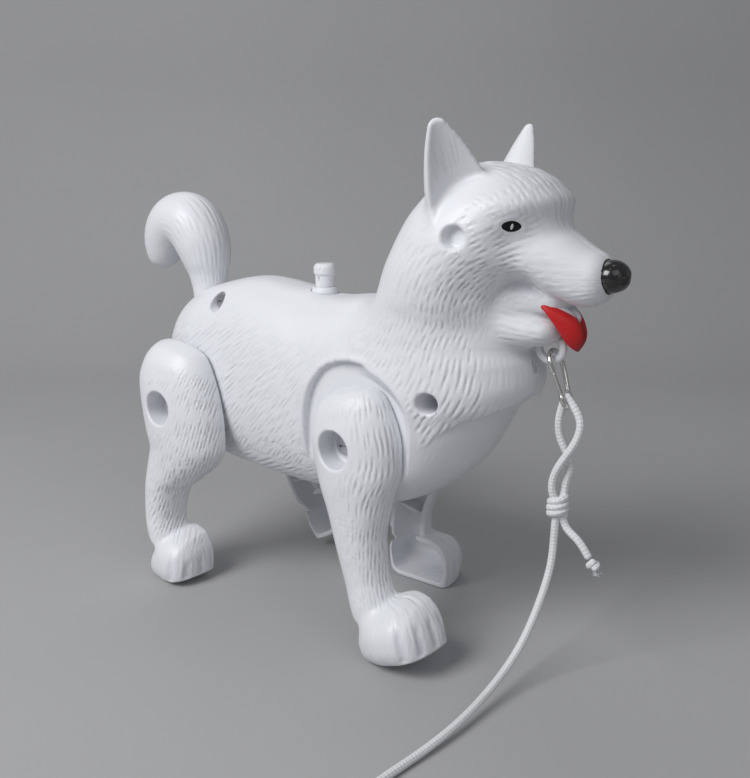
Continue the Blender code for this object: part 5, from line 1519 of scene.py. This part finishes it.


# %% [markdown]
# ## Moulded plastic
#
# The body is cool white plastic with a soft shine.  Mould texture is a fine grain, and fine streaks follow
# the flow of the fur.  The bottom of each stroke is painted a little darker, a painted shade where shadow
# sits in the groove, and the shine is uneven as on anything that is handled.


# %% Plastics
def plastic(name, light, groove_shade, shine, grain=0.05):
    """Moulded plastic: its colour, the painted shade colour in the strokes, its roughness and the strength of
    its grain.
    """
    here, _, feed = recipe(name, IOR=1.46)
    # Painted shade: the deeper a stroke is carved, the darker its bottom is painted
    cut = here.stored("carved", 2)
    cloud = here.noise(38.0, 4.0)
    fine = here.noise(2600.0, 2.0)
    flow = here.stored("flow", 1)
    hair = flow.stretch(0.16, 0.8, 0.0).noise(1.0, 2.0).between(0.42, 0.58) * flow.part("Z")
    haze = cloud.between(0.35, 0.7)
    base = haze.mix(light, rgb(*(0.975 * c for c in light[:3])))
    feed(
        Base_Color=(cut * 0.35).mix(base, groove_shade),
        Roughness=shine + 0.1 * cloud + 0.12 * cut - 0.05,
        Normal=(fine + 0.6 * here.noise(700.0, 2.0)).bump(grain, 0.0004, hair.bump(0.12, 0.0004)),
    )


# Each plastic: its colour, the painted shade colour of its strokes, its roughness and grain
plastic("white_plastic", rgb(0.80, 0.815, 0.85), rgb(0.60, 0.625, 0.69), 0.36)
plastic("leg_plastic", rgb(0.80, 0.815, 0.85), rgb(0.60, 0.625, 0.69), 0.37)
plastic("tail_plastic", rgb(0.79, 0.805, 0.845), rgb(0.61, 0.635, 0.70), 0.38)
plastic("button_plastic", rgb(0.82, 0.835, 0.865), rgb(0.6, 0.62, 0.68), 0.33, 0.04)
plastic("gear_plastic", rgb(0.72, 0.70, 0.62), rgb(0.5, 0.48, 0.42), 0.42)
plastic("frame_plastic", rgb(0.035, 0.036, 0.04), rgb(0.02, 0.02, 0.022), 0.45, 0.12)

# Nose: black lacquer with rubbed patches
here, _, feed = recipe("nose_black", IOR=1.5, Coat_Roughness=0.12)
worn = here.noise(420.0, 5.0, 0.62).between(0.56, 0.7)
smear = here.noise(160.0, 3.0)
feed(
    Base_Color=(worn * 0.55).mix(rgb(0.006, 0.006, 0.007), rgb(0.16, 0.145, 0.13)),
    Roughness=0.14 + 0.3 * worn + 0.12 * smear,
    Coat_Weight=0.7 - 0.6 * worn,
    Normal=(worn * -1.0 + 0.4 * here.noise(900.0)).bump(0.12, 0.0003),
)

# Eyes: smooth black print, and its white glint
here, _, feed = recipe("eye_black", IOR=1.3)
ink = here.noise(1500.0, 2.0)
feed(Base_Color=ink.mix(rgb(0.004, 0.004, 0.005), rgb(0.010, 0.010, 0.012)), Roughness=0.4 + 0.1 * ink)
here, _, feed = recipe("eye_white", IOR=1.46)
ink = here.noise(1500.0, 2.0)
feed(Base_Color=ink.mix(rgb(0.86, 0.87, 0.88), rgb(0.74, 0.75, 0.78)), Roughness=0.3 + 0.1 * ink)

# Tongue: red paint, white where it lies in the mouth, with a painted shade that darkens the crease down its
# middle
here, _, feed = recipe("tongue_red", IOR=1.47)
y = here.part("Y")
fall = y * y * -400000.0
crease = fall.node("Math", {0: fall}, operation="EXPONENT")
cloud = here.noise(260.0, 4.0)
bright = cloud.mix(rgb(0.62, 0.016, 0.016), rgb(0.50, 0.010, 0.013))
paint = here.stored("painted", 2)
# Painted shade: the red is darkened along the crease down the middle
red = (crease * 0.65).mix(bright, rgb(0.20, 0.004, 0.007))
feed(
    Base_Color=paint.mix(rgb(0.80, 0.815, 0.85), red),
    Roughness=0.34 + 0.16 * cloud,
    Normal=(here.noise(1800.0, 2.0) + 0.5 * cloud).bump(0.1, 0.0003),
)

# %% [markdown]
# ## Metals and cells
#
# Nickel wire is bright with fine drawing lines and a little tarnish.  Screws and the motor can are duller
# steel.  The cells wear a printed sleeve, left as a plain band here.


# %% Metals
def metal(name, bright, dull, shine, lines):
    """Drawn metal: clean and tarnished colour, roughness, and how the drawing lines are stretched."""
    here, _, feed = recipe(name, Metallic=1.0)
    drawn = here.stretch(*lines).noise(600.0, 3.0)
    tarnish = here.noise(330.0, 4.0).between(0.5, 0.75)
    feed(
        Base_Color=(tarnish * 0.6).mix(bright, dull),
        Roughness=shine + 0.12 * drawn + 0.12 * tarnish,
        Normal=drawn.bump(0.08, 0.0002),
    )


metal("nickel_wire", rgb(0.74, 0.73, 0.71), rgb(0.50, 0.47, 0.43), 0.14, (1, 1, 0.15))
metal("screw_steel", rgb(0.56, 0.57, 0.59), rgb(0.36, 0.36, 0.37), 0.24, (1, 0.2, 1))
metal("motor_steel", rgb(0.55, 0.55, 0.56), rgb(0.36, 0.35, 0.34), 0.32, (1, 0.1, 1))
metal("pinion_brass", rgb(0.72, 0.52, 0.22), rgb(0.45, 0.30, 0.12), 0.28, (1, 0.2, 1))
here, _, feed = recipe("cell_skin", IOR=1.5)
band = here.part("X").between(-0.026, -0.0255)
scuff = here.noise(300.0, 4.0).between(0.55, 0.75)
feed(
    Base_Color=(scuff * 0.3).mix(band.mix(rgb(0.45, 0.30, 0.10), rgb(0.02, 0.023, 0.03)), rgb(0.2, 0.2, 0.2)),
    Roughness=0.3 + 0.25 * scuff,
)

# %% [markdown]
# ## Cord
#
# A braided cord is two families of strands that wind opposite ways and pass over and under each other.  In
# the cord's own lengths, along and around, that is a product of two slanting waves.  Where the strands dip
# between each other the colour is painted darker, a painted shade.


# %% Cord
here, lengths, feed = recipe("cord_white", IOR=1.45, Sheen_Weight=0.25, Sheen_Roughness=0.5)
u, v = lengths.part("X"), lengths.part("Y")
lay, strands = 2.6, 8 * math.pi
one = (u * lay + v * strands).sine()
two = (u * lay - v * strands).sine()
weave = one * two * 0.5 + 0.5
thread = (u * 9.0 + v * (24 * math.pi)).sine() * 0.5 + 0.5
soil = here.noise(120.0, 4.0).between(0.4, 0.8)
base = (soil * 0.5).mix(rgb(0.80, 0.81, 0.83), rgb(0.68, 0.68, 0.69))
feed(
    # Painted shade: the colour darkens where the weave dips between strands
    Base_Color=(weave.between(0.35, 0.0) * 0.4).mix(base, rgb(0.50, 0.51, 0.54)),
    Roughness=0.72 + 0.12 * weave,
    Normal=(weave + 0.2 * thread).bump(0.55, 0.0003),
)

# %% [markdown]
# ## Hand out the materials
#
# New pieces take the material of the slot they were given.  Parts that stay as solids take the one named in
# the record.

# %% Assign
SLOT_OF = {
    "nose_skin": "nose_black", "right_eye": "eye_black", "left_eye": "eye_black",
    "right_eye_glint": "eye_white", "left_eye_glint": "eye_white", "tongue_skin": "tongue_red",
    "hook_body_wire": "nickel_wire", "hook_gate_wire": "nickel_wire", "tail_skin": "tail_plastic",
    "push_button_skin": "button_plastic",
}
for piece in list(bpy.context.scene.objects):
    if piece.type != "MESH" or piece.name in frame["nodes"]:
        continue
    name = SLOT_OF.get(piece.name, "white_plastic")
    if piece.name.startswith("leash"):
        name = "cord_white"
    if piece.name.endswith("_leg_skin"):
        name = "leg_plastic"
    piece.data.materials.clear()
    piece.data.materials.append(MATERIALS[name])
for name, node in frame["nodes"].items():
    for holder in node.material_slots:
        key = holder.material.name.split(".")[0] if holder.material else ""
        if key in MATERIALS:
            holder.material = MATERIALS[key]
        else:
            print("no material for", name, key)
print(len(MATERIALS), "materials handed out")

# %% [markdown]
# ## Floor and light
#
# The photograph has a plain grey sheet that sweeps up behind the toy.  A large soft lamp high on the left
# makes the shape, a weak one on the right keeps the shadows open, and the room gives the rest.

# %% Stage
CURVE_FROM, CURVE = 350, 240  # where the sheet begins to rise, and the radius of its bend
across = np.linspace(-1500, 1500, 2)
run = np.linspace(-900, 2400, 160)
bend = np.clip((run - CURVE_FROM) / CURVE, 0, np.pi / 2)
depth = np.where(run < CURVE_FROM, run, CURVE_FROM + CURVE * np.sin(bend))
rise = CURVE * (1 - np.cos(bend)) + np.maximum(run - CURVE_FROM - CURVE * np.pi / 2, 0)
base = np.array((17.95, 0, -0.15))
sweep = base + depth[:, None, None] * np.array(inward) + rise[:, None, None] * np.array((0, 0, 1.0))
sweep = sweep + across[None, :, None] * np.array(rightward)
i = np.arange(len(run) - 1)[:, None] * 2
floor = new_piece("floor", sweep.reshape(-1, 3), np.concatenate([i, i + 1, i + 3, i + 2], 1))
here, _, feed = recipe("paper_grey")
tone = here.noise(6.0, 3.0)
feed(Base_Color=tone.mix(rgb(0.44, 0.44, 0.447), rgb(0.40, 0.40, 0.407)), Roughness=0.75 + 0.1 * tone)
floor.data.materials.append(MATERIALS["paper_grey"])


def lamp(name, watts, size, where):
    """Soft square lamp that looks at the middle of the toy."""
    light = bpy.data.lights.new(name, "AREA")
    light.energy = watts
    light.size = size
    made = add(name, light)
    made.location = Vector(where)
    made.rotation_euler = (Vector((0, 0, 0.08)) - made.location).to_track_quat("-Z", "Y").to_euler()


lamp("key", 6.4, 0.5, -rightward * 0.55 - inward * 0.45 + upward * 0.69)
lamp("fill", 0.9, 0.6, rightward * 0.3 - inward * 0.7 + upward * 0.7)
lamp("back", 0.6, 0.4, inward * 0.45 + upward * 0.75 - rightward * 0.1)
room = bpy.data.worlds.new("room")
room.use_nodes = True
air = room.node_tree.nodes["Background"].inputs
air["Color"].default_value = rgb(0.80, 0.82, 0.86)
air["Strength"].default_value = 0.26
bpy.context.scene.world = room
print("lit by key, fill, back and the room")
